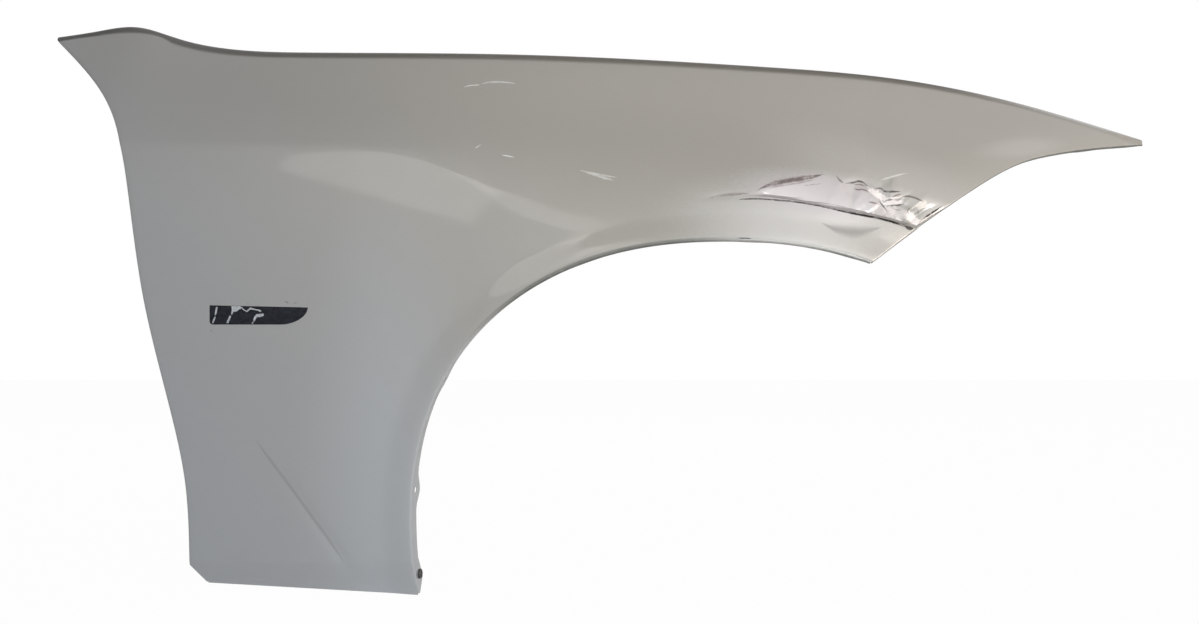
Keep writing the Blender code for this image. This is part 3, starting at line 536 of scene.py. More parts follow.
HANDLING_MARKS = (
    (((-510, 264), (-507.5, 262.8), (-504.6, 261.4)), 0.9, 0.8, 2, 0.75, DARK_BROWN),
    (((-500.4, 261.3), (-498, 261.7), (-495, 261.2)), 0.6, 0.8, 2, 0.45, DARK_BROWN),
    (((-553, 261.3), (-552.2, 261.7), (-551.4, 261.4)), 0.6, 0.6, 0.5, 0.60, DARK_BROWN),
    (((-595, 228.4), (-594, 230), (-593, 228.4)), 0.9, 0.8, 0.5, 0.35, DARK_BROWN),
)
# Painted shade along the valley in the leg and in the crescent under the pressed dent
SHADE_MARKS = (
    (((-550, 112), (-527, 79), (-507, 51), (-484, 17), (-465, -10.5), (-440, -51)),
     5.6, 1.4, 26, 0.42, SHADE),
    (((101, 361), (118, 350.5), (132, 346), (149, 344.2), (166, 346.6), (190, 353.5)),
     10.0, 3.4, 44, 0.54, SHADE),
)
# Painted glints and highlights: short pale strokes on the crown and over the crumple
PAINTED_GLINT_MARKS = (
    (((-309, 513.6), (-305, 518.4), (-288, 520.2)), 0.9, 1.2, 6, 0.80, PAINTED_GLINT_PALE),
    (((-292, 518.9), (-266, 524.3), (-243, 517.9)), 1.5, 2.0, 18, 0.60, PAINTED_GLINT_PALE),
    (((-262, 433.3), (-251, 431.6), (-245, 429.8)), 0.9, 0.8, 6, 0.80, PAINTED_GLINT_PALE),
    (((-293, 440.6), (-288, 443.6), (-284, 447)), 1.2, 1.0, 4, 0.50, PAINTED_GLINT_PALE),
    (((-174, 417), (-156, 411.5), (-141, 406.5), (-127, 403.4)), 2.2, 3.0, 18, 0.42, PAINTED_GLINT_PALE),
    (((-160, 414), (-142, 409.6), (-125, 407)), 1.2, 2.4, 12, 0.35, PAINTED_GLINT_PALE),
    (((179, 405.6), (195, 410.3), (208, 414), (221, 417)), 1.5, 0.8, 18, 0.45, PAINTED_GLINT_PALE),
)
# Patches of painted light and shade, then painted glints: centre, reach and height in
# millimetres, slant, softness of the rim, strength and colour
PAINTED_LIGHT_AND_SHADE_PATCHES = (
    # painted cool highlight on the leg beside the arch
    ((-392, 30), 66, 250, 0.0, 0.90, 0.42, (0.42, 0.44, 0.47, 1.0)),
    # painted shade at the rear of the crown
    ((-690, 540), 210, 100, 0.0, 0.90, 0.26, (0.21, 0.208, 0.205, 1.0)),
    # painted warm light along the crown
    ((-40, 532), 400, 50, -0.05, 0.90, 0.40, (0.42, 0.385, 0.34, 1.0)),
    # painted highlight on the panel below the fold
    ((74, 352), 96, 40, -0.10, 0.80, 0.80, PAINTED_PALE_LIGHT),
    # painted light over the crumpled front
    ((200, 402), 96, 34, -0.34, 0.95, 0.30, PAINTED_PALE_LIGHT),
    # painted highlight along the nose
    ((366, 452), 48, 11, 0.12, 0.60, 0.22, PAINTED_PALE_LIGHT),
    # pinkish stressed paint in the dent, made paler with painted light
    ((112, 388), 84, 25, -0.12, 0.45, 0.60, STRESSED_PAINT_AND_PAINTED_LIGHT),
)
# Painted glints on the crumpled facets, which also dull the coat
PAINTED_GLINT_PATCHES = (
    ((180, 389.4), 11.5, 4.6, -0.50, 0.15, 0.95, PAINTED_GLINT_WHITE),
    ((197, 380.2), 13.0, 2.8, 0.04, 0.15, 0.85, PAINTED_GLINT_WHITE),
    ((205, 367.4), 19.0, 7.0, -0.25, 0.50, 0.66, PAINTED_GLINT_WHITE),
    ((221.6, 361.6), 8.0, 6.2, -0.60, 0.15, 0.95, PAINTED_GLINT_WHITE),
)

# Stage, light and camera
FLOOR_REACH = 6.0
FLOOR_GAP = 0.0005
FLOOR_FACES = 8
FLOOR_COLOR = (0.85, 0.85, 0.84, 1.0)
FLOOR_ROUGHNESS = 0.9
WHITE = (1.0, 1.0, 1.0, 1.0)
FLOOR_WHITE_SHARE = 0.98
ROOM_LIGHT = (0.165, 0.160, 0.150, 1.0)
# Softboxes: name, place, point they face, size, turn in degrees, radiance and colour
SOFTBOXES = (
    ("band_card", (-0.66, -3.43, 0.68), (-0.4, -0.12, -0.1), (0.7, 0.66), -27, 1.25, (1.0, 0.99, 0.95)),
    ("side_card", (-0.21, -3.43, 0.62), (-0.1, -0.12, -0.14), (0.4, 0.56), 8, 1.05, (1.0, 0.97, 0.92)),
    ("key_softbox", (1.6, -1.6, -0.36), (0.2, 0.0, -0.2), (1.5, 0.46), 0, 13.2, (1.0, 0.89, 0.82)),
    ("low_fill", (0.8, -2.0, -0.34), (0.0, 0.0, -0.4), (1.2, 0.5), 0, 12.5, (0.72, 0.88, 1.0)),
    ("back_fill", (-0.4, 2.6, 1.0), (-0.05, 0.0, -0.25), (2.0, 1.4), 0, 1.0, (1.0, 1.0, 1.0)),
)
CAMERA_DISTANCE = 1.85
CAMERA_CENTRE = (-0.1476, 0.25145)
FRAME_WIDTH = 1.37885
SENSOR_WIDTH = 36.0


def spline(knots):
    """Natural cubic curve through (position, value) knots, for numbers and arrays."""
    position, value = np.array(knots, dtype=float).T
    span = np.diff(position)
    slope = np.diff(value) / span
    size = len(position)
    system = np.eye(size)
    bend = np.zeros(size)
    for knot in range(1, size - 1):
        before, after = span[knot - 1], span[knot]
        system[knot, knot - 1 : knot + 2] = before, 2 * (before + after), after
        bend[knot] = 6 * (slope[knot] - slope[knot - 1])
    curvature = np.linalg.solve(system, bend)

    def evaluate(at):
        knot = np.clip(np.searchsorted(position, at) - 1, 0, size - 2)
        before = at - position[knot]
        after = position[knot + 1] - at
        width = span[knot]
        cubic = (curvature[knot] * after**3 + curvature[knot + 1] * before**3) / (6 * width)
        left = (value[knot] / width - curvature[knot] * width / 6) * after
        right = (value[knot + 1] / width - curvature[knot + 1] * width / 6) * before
        return cubic + left + right

    return evaluate


def bowed_edge(start, end, bow):
    """Edge between two (position, value) corners, bowed off its chord by (share, rise) knots."""
    rise = spline([(0.0, 0.0), *bow, (1.0, 0.0)])

    def evaluate(at):
        share = (at - start[0]) / (end[0] - start[0])
        return start[1] + share * (end[1] - start[1]) + rise(np.clip(share, 0.0, 1.0))

    return evaluate


def smooth_step(share):
    """Ease from 0 to 1 as the share goes from 0 to 1."""
    share = np.clip(share, 0.0, 1.0)
    return share * share * (3.0 - 2.0 * share)


def soft_ramp(distance, radius):
    """Zero before 0 and equal to the distance after it, rounded over the radius both ways."""
    rounded = (distance + radius) ** 2 / (4.0 * radius)
    return np.where(distance < -radius, 0.0, np.where(distance > radius, distance, rounded))


def stops_between(start, end, spacing, stops=()):
    """Positions from start to end no further apart than the spacing, with every stop among them."""
    inner = [stop for stop in stops if start < stop < end]
    fixed = [start, *inner, end]
    positions = [start]
    for low, high in zip(fixed, fixed[1:]):
        count = max(1, math.ceil((high - low) / spacing))
        positions += [low + (high - low) * (step + 1) / count for step in range(count)]
    return positions


# Outline of the skin, inside the bends that carry its edges round to the flanges

ARCH_SKIN_HALF_WIDTH = ARCH_HALF_WIDTH + EDGE_BEND
ARCH_SKIN_RISE = ARCH_RISE + EDGE_BEND


def superellipse(at, reach, height):
    """Height of the superellipse at a distance along its other axis."""
    share = np.clip(np.abs(at) / reach, 0.0, 1.0)
    return height * (1.0 - share**ARCH_EXPONENT) ** (1.0 / ARCH_EXPONENT)


def arch_x(z):
    return -superellipse(z, ARCH_SKIN_RISE, ARCH_SKIN_HALF_WIDTH)


def arch_z(x):
    return superellipse(x, ARCH_SKIN_HALF_WIDTH, ARCH_SKIN_RISE)


HORN = (-HORN_REACH + EDGE_BEND, HORN_HEIGHT)
TIP_TOP = (TIP_REACH, TIP_HEIGHT)
TIP_FOOT = (TIP_REACH, TIP_HEIGHT - TIP_THICKNESS + EDGE_BEND)
SILL_CORNER = (-SILL_LINE_DROP, -SILL_REACH + EDGE_BEND)

top_z = bowed_edge(HORN, TIP_TOP, TOP_BOW)
lamp_z = bowed_edge((NOSE_CORNER_REACH, float(arch_z(NOSE_CORNER_REACH))), TIP_FOOT, LAMP_BOW)
door_x = bowed_edge(SILL_CORNER, HORN[::-1], REAR_BOW)
rear_shoulder_z = bowed_edge(
    (-SHOULDER_REAR_REACH, SHOULDER_REAR_HEIGHT),
    (NOSE_CORNER_REACH, SHOULDER_FRONT_HEIGHT),
    SHOULDER_BOW,
)
nose_shoulder_z = bowed_edge(
    (NOSE_CORNER_REACH, SHOULDER_FRONT_HEIGHT),
    (TIP_REACH, TIP_HEIGHT - TIP_THICKNESS),
    SHOULDER_NOSE_BOW,
)


def rear_x(z):
    """Door-side edge, with the chamfer below the sill line."""
    chamfer_slope = SILL_CHAMFER / (SILL_DROP - SILL_LINE_DROP)
    below = np.maximum(-SILL_LINE_DROP - z, 0.0)
    return np.where(below > 0.0, SILL_CORNER[1] + below * chamfer_slope, door_x(z))


def sill_z(x):
    chamfer_foot = -SILL_REACH + SILL_CHAMFER
    return -SILL_DROP + EDGE_BEND - SILL_FALL * (x - chamfer_foot)


def low_z(x):
    """Lower edge of the skin ahead of the leg: the arch, then the headlamp edge."""
    return np.where(x < NOSE_CORNER_REACH, arch_z(x), lamp_z(x))


def shoulder_z(x):
    """The line above which the skin leans inboard."""
    return np.where(x < NOSE_CORNER_REACH, rear_shoulder_z(x), nose_shoulder_z(x))


def row_line_z(x):
    """The shoulder line as a row of the net, kept above the headlamp edge at the nose."""
    low = low_z(np.maximum(x, 0.0))
    nose = low + ROW_NOSE_SHARE * (top_z(x) - low)
    blend = smooth_step((x - NOSE_CORNER_REACH) / ROW_NOSE_BLEND + ROW_NOSE_LEAD)
    return rear_shoulder_z(x) * (1.0 - blend) + nose * blend


# Depth of the skin at a point of its outline

fold_z = bowed_edge((FOLD_REAR_X, FOLD_REAR_Z), (FOLD_FRONT_X, FOLD_FRONT_Z), FOLD_BOW)
bonnet_line_y = bowed_edge(
    (-HORN_REACH, BONNET_LINE_HORN),
    (TIP_REACH, BONNET_LINE_TIP),
    BONNET_LINE_BOW,
)


def roll_height(x):
    """Height of the rolled band under the top edge, less where the panel tapers to its tip."""
    return np.minimum(ROLL_HEIGHT, ROLL_TIP_SHARE * (top_z(x) - low_z(np.maximum(x, 0.0))))


def nose_depth(x):
    return NOSE_INSET * (np.maximum(x, 0.0) / TIP_REACH) ** NOSE_POWER


def crown_depth(x, z):
    """The band above the shoulder leans inboard to the bonnet line, and its top edge rolls over."""
    fade = smooth_step((x + SHOULDER_FADE_REAR) / (SHOULDER_FADE_REAR - SHOULDER_FADE_FRONT))
    radius = SHOULDER_SHARP + (SHOULDER_SOFT - SHOULDER_SHARP) * fade
    height = top_z(x) - shoulder_z(x)
    rise = soft_ramp(z - shoulder_z(x), radius) / soft_ramp(height, radius)
    roll = roll_height(x)
    roll_depth = ROLL_DEPTH * roll / ROLL_HEIGHT
    rolled = np.clip(1.0 - (top_z(x) - z) / roll, 0.0, 1.0)
    lean = bonnet_line_y(x) - roll_depth - nose_depth(x) - flank_depth(top_z(x))
    return lean * (CROWN_STRAIGHT * rise + (1.0 - CROWN_STRAIGHT) * rise**2) + roll_depth * rolled**2


def flank_depth(z):
    """The side curves in above its widest height and tucks in below it."""
    above = np.maximum(z - WIDEST_HEIGHT, 0.0)
    below = np.maximum(WIDEST_HEIGHT - z, 0.0) / (WIDEST_HEIGHT + SILL_DROP)
    tuck = SILL_TUCK * below**SILL_TUCK_POWER
    under = SILL_LINE_SLOPE * soft_ramp(-SILL_LINE_DROP - z, SILL_LINE_RADIUS)
    return FLANK_CURVE * above**2 + tuck + under


def arch_flare(x, z):
    """The skin stands out a little along the arch."""
    across = np.abs(x) / ARCH_SKIN_HALF_WIDTH
    up = np.abs(z) / ARCH_SKIN_RISE
    ratio = (across**ARCH_EXPONENT + up**ARCH_EXPONENT) ** (1.0 / ARCH_EXPONENT)
    away = (ratio - 1.0) * ARCH_SKIN_RISE / FLARE_WIDTH
    return FLARE_HEIGHT * (1.0 - smooth_step(away))


def valley_depth(x, z):
    """Slanting valley in the leg, deepest near its foot."""
    run = np.array(VALLEY_FOOT) - np.array(VALLEY_TOP)
    length = float(np.hypot(*run))
    along = ((x - VALLEY_TOP[0]) * run[0] + (z - VALLEY_TOP[1]) * run[1]) / length**2
    across = ((x - VALLEY_TOP[0]) * run[1] - (z - VALLEY_TOP[1]) * run[0]) / length
    fade_in = smooth_step(along / VALLEY_RUN_IN)
    strength = fade_in * smooth_step((1.0 - along) / VALLEY_RUN_OUT + VALLEY_RUN_OUT_LEAD)
    return VALLEY_DEPTH * strength * np.exp(-((across / VALLEY_HALF_WIDTH) ** 2))


dent_top_z = bowed_edge(DENT_TOP_REAR, DENT_TOP_FRONT, DENT_TOP_BOW)


def facet_surface(corners):
    """Flat facets over (x, z, depth) corners in millimetres, as a function of x and z in metres."""
    points = np.array(corners) / MM_PER_M
    flat = [Vector((x, z)) for x, z in points[:, :2]]
    triangles = delaunay_2d_cdt(flat, [], [], 0, FACET_TOLERANCE)[2]

    def evaluate(x, z):
        depth = np.zeros(np.broadcast(x, z).shape)
        for first, second, third in triangles:
            corner = points[first]
            to_second = points[second] - corner
            to_third = points[third] - corner
            area = to_second[0] * to_third[1] - to_second[1] * to_third[0]
            right = x - corner[0]
            up = z - corner[1]
            share_second = (right * to_third[1] - up * to_third[0]) / area
            share_third = (up * to_second[0] - right * to_second[1]) / area
            inside = (share_second >= 0.0) & (share_third >= 0.0) & (share_second + share_third <= 1.0)
            facet = corner[2] + share_second * to_second[2] + share_third * to_third[2]
            depth = np.where(inside, facet, depth)
        return depth

    return evaluate


crumple_facets = facet_surface(CRUMPLE_CORNERS)


def zigzag(distance, pitch):
    """Triangle wave between -1 and 1."""
    phase = distance / pitch
    return 4.0 * np.abs(phase - np.floor(phase + 0.5)) - 1.0


def oval(x, z, centre, reach, height, slant):
    """0 at an oval's centre and 1 on its rim."""
    across = (x - centre[0]) / reach
    up = (z - centre[1] - slant * (x - centre[0])) / height
    return np.hypot(across, up)


def crash_depth(x, z):
    """Dent between the fold and its upper crease, the lip below, and the crumpled front."""
    over = z - fold_z(x)
    strength = smooth_step((x - FOLD_REAR_X) / DENT_RUN_IN)
    height = np.maximum(dent_top_z(x) - fold_z(x), DENT_LEAST_HEIGHT)
    share = np.clip(over / height, 0.0, 1.0)
    facet = soft_ramp(1.0 - share, DENT_CREASE_SHARE)
    dent = DENT_DEPTH * strength * smooth_step(over / FOLD_STEP) * facet
    lip = FOLD_LIP * strength * np.exp(-np.maximum(-over, 0.0) / FOLD_LIP_REACH)
    lip = lip * (1.0 - smooth_step(over / FOLD_STEP))
    pressed = 1.0 - smooth_step(oval(x, z, *PRESSED))
    dimple = 1.0 - smooth_step(oval(x, z, *DIMPLE))
    run_in = 1.0 - smooth_step(oval(x, z, *RUN_IN_CREASE))
    crumple = CRUMPLE_GAIN * crumple_facets(x, z)
    in_crumple = smooth_step(np.abs(crumple) / WRINKLE_ONSET)
    wrinkles = zigzag(x + WRINKLE_SLANT * z, WRINKLE_PITCH)
    wrinkles = wrinkles + zigzag(z + CROSS_WRINKLE_SLANT * x, CROSS_WRINKLE_PITCH)
    damage = dent - lip + crumple + WRINKLE_DEPTH * wrinkles * in_crumple
    return damage + PRESSED_DEPTH * pressed + DIMPLE_DEPTH * dimple + RUN_IN_DEPTH * run_in


def skin_depth(x, z):
    formed = nose_depth(x) + crown_depth(x, z) + flank_depth(z) - arch_flare(x, z)
    return formed + valley_depth(x, z) + crash_depth(x, z)


# The skin as two nets of points: the leg behind the wheel and the crown above it


def settle(column_x, row_z, x, z):
    """Points where each column line, x for a height, meets each row line, z for an x."""
    for _ in range(SETTLE_ROUNDS):
        x = column_x(z)
        z = row_z(x)
    return np.stack([x, skin_depth(x, z), z], axis=-1)


def pad_edges():
    """X of both ends of every screw pad on the bonnet flange."""
    return sorted(centre + side * PAD_HALF_LENGTH for centre in PAD_CENTRES for side in (-1, 1))


KNEE_X = float(arch_x(WIDEST_HEIGHT))


def rear_columns():
    """Shares of the width from the door edge to the arch knee, with stops at the pads."""
    start = HORN[0]
    positions = stops_between(start, KNEE_X, COLUMN_STEP, pad_edges())
    return np.array([(x - start) / (KNEE_X - start) for x in positions])


def front_columns():
    """X of the columns ahead of the arch knee, closer together across the crash damage."""
    stops = sorted([*pad_edges(), NOSE_CORNER_REACH])
    dent_start = FOLD_REAR_X - DENT_COLUMN_STEP
    dent_end = FOLD_FRONT_X + 2 * DENT_COLUMN_STEP
    positions = stops_between(KNEE_X, dent_start, COLUMN_STEP, stops)
    positions += stops_between(dent_start, dent_end, DENT_COLUMN_STEP, stops)[1:]
    positions += stops_between(dent_end, TIP_REACH, COLUMN_STEP, stops)[1:]
    return np.array(positions[1:])


def tab_edges():
    return sorted(height + side * TAB_HALF_HEIGHT for height in TAB_HEIGHTS for side in (-1, 1))


def leg_net():
    """Rows from the sill up to the widest height, columns from the door edge to the arch."""
    share = rear_columns()[None, :]
    foot_rows = np.linspace(0.0, 1.0, SILL_ROWS + 1)[:-1, None]
    heights = stops_between(-SILL_LINE_DROP, WIDEST_HEIGHT, LEG_ROW_STEP, tab_edges())
    height = np.array(heights)[:, None]

    def column_x(z):
        return rear_x(z) * (1.0 - share) + arch_x(z) * share

    def foot_row_z(x):
        return sill_z(x) * (1.0 - foot_rows) - SILL_LINE_DROP * foot_rows

    start = np.full((len(foot_rows), share.size), -SILL_REACH)
    foot = settle(column_x, foot_row_z, start, start * 0.0 - SILL_DROP)
    upper_z = np.broadcast_to(height, (height.size, share.size))
    upper = settle(column_x, lambda x: upper_z, upper_z, upper_z)
    return np.concatenate([foot, upper])


def crown_rows():
    """Row lines from the arch to the top edge: (share to shoulder, share to roll, share of roll)."""
    tabs = []
    for edge in tab_edges():
        rise = float(row_line_z(rear_x(edge))) - WIDEST_HEIGHT
        tabs.append((edge - WIDEST_HEIGHT) / rise)
    rows = [(share, 0.0, 0.0) for share in stops_between(0.0, 1.0, 1.0 / ARCH_ROWS, tabs)]
    for row in range(CROWN_ROWS):
        rows.append((1.0, ((row + 1) / CROWN_ROWS) ** CROWN_ROW_POWER, 0.0))
    rows += [(1.0, 1.0, (row + 1) / ROLL_ROWS) for row in range(ROLL_ROWS)]
    return np.array(rows)


def crown_net():
    """Rows from the arch and headlamp edge to the top edge, columns from the door to the tip."""
    rear_share = rear_columns()
    front_x = front_columns()
    share = np.concatenate([rear_share, np.ones(len(front_x))])[None, :]
    line_x = np.concatenate([np.full(len(rear_share), KNEE_X), front_x])[None, :]
    to_shoulder, to_roll, of_roll = (column[:, None] for column in crown_rows().T)

    def column_x(z):
        return rear_x(z) * (1.0 - share) + line_x * share

    def row_z(x):
        low = np.where(x < KNEE_X, WIDEST_HEIGHT, low_z(np.maximum(x, KNEE_X)))
        middle = row_line_z(x)
        roll = roll_height(x)
        roll_foot = top_z(x) - roll
        below = low + (middle - low) * to_shoulder
        return below + (roll_foot - middle) * to_roll + roll * of_roll

    shape = (len(to_shoulder), share.size)
    start_x = np.broadcast_to(line_x, shape)
    return settle(column_x, row_z, start_x, np.full(shape, SHOULDER_REAR_HEIGHT))


# Flanges, each a net that starts on an edge of the skin


def outward_directions(edge):
    """Unit directions in the XZ plane that point away from the skin, left of the edge's run."""
    run = np.gradient(edge[:, [0, 2]], axis=0)
    out = np.stack([-run[:, 1], run[:, 0]], axis=1)
    return out / np.linalg.norm(out, axis=1)[:, None]


def edge_lengths(edge):
    steps = np.linalg.norm(np.diff(edge, axis=0), axis=1)
    return np.concatenate([[0.0], np.cumsum(steps)])


def run_out(edge, length):
    """0 at both ends of an edge, rising to 1 over the length."""
    along = edge_lengths(edge)
    nearest = np.minimum(along, along[-1] - along)
    return smooth_step(nearest / length)


def lobes(edge, centres):
    """1 at each centre, a length along the edge, and 0 beyond a lobe's half length."""
    along = edge_lengths(edge)
    near = [1.0 - smooth_step(np.abs(along - centre) / LOBE_HALF_LENGTH) for centre in centres]
    return np.max(near, axis=0)


def sweep(edge, out, profile):
    """Net of an edge moved along each (outward, inboard) step of a profile."""
    rings = []
    for outward, inboard in profile:
        ring = edge.copy()
        ring[:, 0] += out[:, 0] * outward
        ring[:, 2] += out[:, 1] * outward
        ring[:, 1] += inboard
        rings.append(ring)
    return np.stack(rings)


def bend_profile(radius):
    """Quarter turn from the skin's direction to inboard."""
    turns = np.linspace(0.0, math.pi / 2, BEND_STEPS + 1)
    return [(radius * math.sin(turn), radius * (1.0 - math.cos(turn))) for turn in turns]


def folded_flange(edge, depth, lean):
    """Bend along an edge and the flange behind it, leaning outward by a share of its depth."""
    out = outward_directions(edge)
    profile = bend_profile(EDGE_BEND)
    profile.append((EDGE_BEND + lean * depth, EDGE_BEND + depth))
    return sweep(edge, out, profile)


def flange_depth(edge, depth):
    return FLANGE_END + (depth - FLANGE_END) * run_out(edge, FLANGE_RUN_OUT)


def door_flange(edge):
    """Flange of the door edge, level inboard at each tab, and the tabs that turn back from it."""
    depth = flange_depth(edge, DOOR_FLANGE)
    spans = []
    for height in TAB_HEIGHTS:
        near = np.abs(edge[:, 2] - height) <= TAB_HALF_HEIGHT + SHEET
        rows = np.nonzero(near)[0]
        span = slice(rows[0], rows[-1] + 1)
        plane = edge[span, 1].max() + EDGE_BEND + DOOR_FLANGE
        depth[span] = plane - edge[span, 1] - EDGE_BEND
        spans.append(span)
    flange = folded_flange(edge, depth, 0.0)
    out = outward_directions(edge)
    flange_nets = [flange]
    turn_back = [(-inboard, outward) for outward, inboard in bend_profile(TAB_BEND)]
    turn_back.append((-TAB_LENGTH, turn_back[-1][1]))
    for span in spans:
        flange_nets.append(sweep(flange[-1][span], out[span], turn_back))
    return flange_nets


def arch_clip_lengths(edge):
    """Lengths along the arch edge at which its clip holes lie."""
    angle = np.degrees(np.unwrap(np.arctan2(edge[:, 2], edge[:, 0])))
    along = edge_lengths(edge)
    return [float(np.interp(clip, angle, along)) for clip in ARCH_CLIP_ANGLES]


def arch_flange(edge):
    """Flange round the wheel, leaning to the wheel in the leg, wider at each clip."""
    clips = lobes(edge, arch_clip_lengths(edge))
    depth = flange_depth(edge, ARCH_FLANGE) + LOBE_EXTRA * clips * run_out(edge, FLANGE_RUN_OUT)
    in_leg = 1.0 - smooth_step(edge[:, 2] / WIDEST_HEIGHT)
    return folded_flange(edge, depth, ARCH_FLANGE_LEAN * in_leg)


def lamp_flange(edge):
    """Flange along the headlamp, wider at each clip."""
    length = edge_lengths(edge)[-1]
    clips = lobes(edge, [share * length for share in LAMP_CLIP_SHARES])
    depth = flange_depth(edge, LAMP_FLANGE) + LOBE_EXTRA * clips
    return folded_flange(edge, depth, 0.0)


def ledge_z(x):
    """Height of the bonnet ledge: level along each pad and straight between them."""
    ends = pad_edges()
    levels = [float(top_z(centre)) - BONNET_WALL for centre in PAD_CENTRES for _ in (0, 1)]
    start = float(top_z(HORN[0])) - BONNET_WALL_HORN
    tip = float(top_z(TIP_REACH)) - BONNET_WALL_TIP
    return np.interp(x, [HORN[0], *ends, TIP_REACH], [start, *levels, tip])


def ledge_width(x):
    """Width of the bonnet ledge, less towards the horn and the tip."""
    nearest = np.minimum(x - HORN[0], TIP_REACH - x)
    full = BONNET_LEDGE - BONNET_LEDGE_END
    return BONNET_LEDGE_END + full * smooth_step(nearest / BONNET_RUN_OUT)


def bonnet_flange(edge, below):
    """Roll of the top edge, wall down behind it and ledge inboard, from the skin's last two rows."""
    x, y, z = edge.T
    heading = np.arctan2(z - below[:, 2], y - below[:, 1])
    centre_y = y + BONNET_BEND * np.sin(heading)
    centre_z = z - BONNET_BEND * np.cos(heading)
    rings = [edge]
    for share in np.linspace(0.0, 1.0, BEND_STEPS + 1)[1:]:
        turned = heading * (1.0 - share) - math.pi / 2 * share
        ring_y = centre_y - BONNET_BEND * np.sin(turned)
        ring_z = centre_z + BONNET_BEND * np.cos(turned)
        rings.append(np.stack([x, ring_y, ring_z], axis=1))
    wall_y = centre_y + BONNET_BEND
    ledge = ledge_z(x)
    radius = np.minimum(BONNET_BEND, (centre_z - ledge) / 2)
    for turned in np.linspace(-math.pi / 2, 0.0, LEDGE_BEND_STEPS + 1):
        ring_y = wall_y + radius * (1.0 + math.sin(turned))
        ring_z = ledge + radius * (1.0 - math.cos(turned))
        rings.append(np.stack([x, ring_y, ring_z], axis=1))
    rings.append(np.stack([x, wall_y + radius + ledge_width(x), ledge], axis=1))
    return np.stack(rings)


# The whole sheet, and places on it that other pieces and cuts need


class PanelNets:
    """The open sheet's nets, and its edges as runs with the skin on their right."""

    def __init__(self):
        self.leg = leg_net()
        self.crown = crown_net()
        knee = len(rear_columns()) - 1
        nose = knee + 1 + int(np.argmin(np.abs(front_columns() - NOSE_CORNER_REACH)))
        self.door_edge = np.concatenate([self.leg[:, 0], self.crown[1:, 0]])
        arch = np.concatenate([self.leg[:, -1], self.crown[0, knee + 1 : nose + 1]])
        self.arch_edge = arch[::-1]
        self.lamp_edge = self.crown[0, nose:][::-1]
        self.sill_edge = self.leg[0][::-1]
        self.door_nets = door_flange(self.door_edge)
        self.arch = arch_flange(self.arch_edge)
        self.lamp = lamp_flange(self.lamp_edge)
        self.sill = folded_flange(
            self.sill_edge, flange_depth(self.sill_edge, SILL_FLANGE), 0.0
        )
        self.bonnet = bonnet_flange(self.crown[-1], self.crown[-2])

    def flanges(self):
        return [*self.door_nets, self.arch, self.lamp, self.sill, self.bonnet]

    def pad_centre(self, index):
        """Centre of a screw pad on the upper face of the bonnet ledge."""
        centre = PAD_CENTRES[index]
        ledge, end = self.bonnet[-2], self.bonnet[-1]
        start_y = np.interp(centre, ledge[:, 0], ledge[:, 1])
        end_y = np.interp(centre, end[:, 0], end[:, 1])
        return np.array([centre, (start_y + end_y) / 2, float(ledge_z(centre))])

    def origin(self):
        """Flat spot beside the hole of the middle pad."""
        return self.pad_centre(len(PAD_CENTRES) // 2) + np.array([ORIGIN_FROM_HOLE, 0.0, 0.0])

    def tab_centre(self, index):
        """Centre of a door-side tab on its inboard face."""
        net = self.door_nets[1 + index]
        return (net[-2].mean(axis=0) + net[-1].mean(axis=0)) / 2

    def on_flange(self, net, edge, length):
        """Point on a folded flange's outer face and the direction that it faces."""
        along = edge_lengths(edge)
        inner = [np.interp(length, along, net[-2][:, axis]) for axis in range(3)]
        outer = [np.interp(length, along, net[-1][:, axis]) for axis in range(3)]
        run = [np.interp(length, along, np.gradient(net[-1][:, axis])) for axis in range(3)]
        depth = np.subtract(outer, inner)
        point = inner + depth * (CLIP_HOLE_INBOARD - EDGE_BEND) / depth[1]
        facing = np.cross(run, depth)
        return point, facing / np.linalg.norm(facing)


# The sheet, and where the part's origin lies in the layout
nets = PanelNets()
origin = nets.origin()


# Blender objects


def new_mesh_object(name, mesh):
    obj = bpy.data.objects.new(name, mesh)
    bpy.context.scene.collection.objects.link(obj)
    return obj


def mesh_object(name, build):
    """Object whose mesh is filled in by a function that takes a bmesh."""
    mesh = bpy.data.meshes.new(name)
    bm = bmesh.new()
    build(bm)
    bm.to_mesh(mesh)
    bm.free()
    return new_mesh_object(name, mesh)


def weld(mesh, turn_outward):
    """Join points that lie together and, if asked, turn the faces outward."""
    bm = bmesh.new()
    bm.from_mesh(mesh)
    bmesh.ops.remove_doubles(bm, verts=bm.verts, dist=WELD_DISTANCE)
    if turn_outward:
        bmesh.ops.recalc_face_normals(bm, faces=bm.faces)
    bm.to_mesh(mesh)
    bm.free()


def net_mesh(name, grids):
    """Mesh of quads between neighbouring points of every net, welded where nets meet."""
    points = []
    faces = []
    count = 0
    for grid in grids:
        rows, columns = grid.shape[:2]
        index = count + np.arange(rows * columns).reshape(rows, columns)
        quads = [index[:-1, :-1], index[:-1, 1:], index[1:, 1:], index[1:, :-1]]
        faces.append(np.stack([corner.ravel() for corner in quads], axis=1))
        points.append(grid.reshape(-1, 3))
        count += rows * columns
    mesh = bpy.data.meshes.new(name)
    mesh.from_pydata(np.concatenate(points).tolist(), [], np.concatenate(faces).tolist())
    weld(mesh, turn_outward=False)
    return mesh


def apply_modifiers(obj):
    """Replace an object's mesh by what its modifiers make of it."""
    graph = bpy.context.evaluated_depsgraph_get()
    made = bpy.data.meshes.new_from_object(obj.evaluated_get(graph))
    obj.modifiers.clear()
    obj.data = made


def shade_smooth(obj, sharp_angle):
    obj.data.shade_smooth()
    obj.data.set_sharp_from_angle(angle=math.radians(sharp_angle))


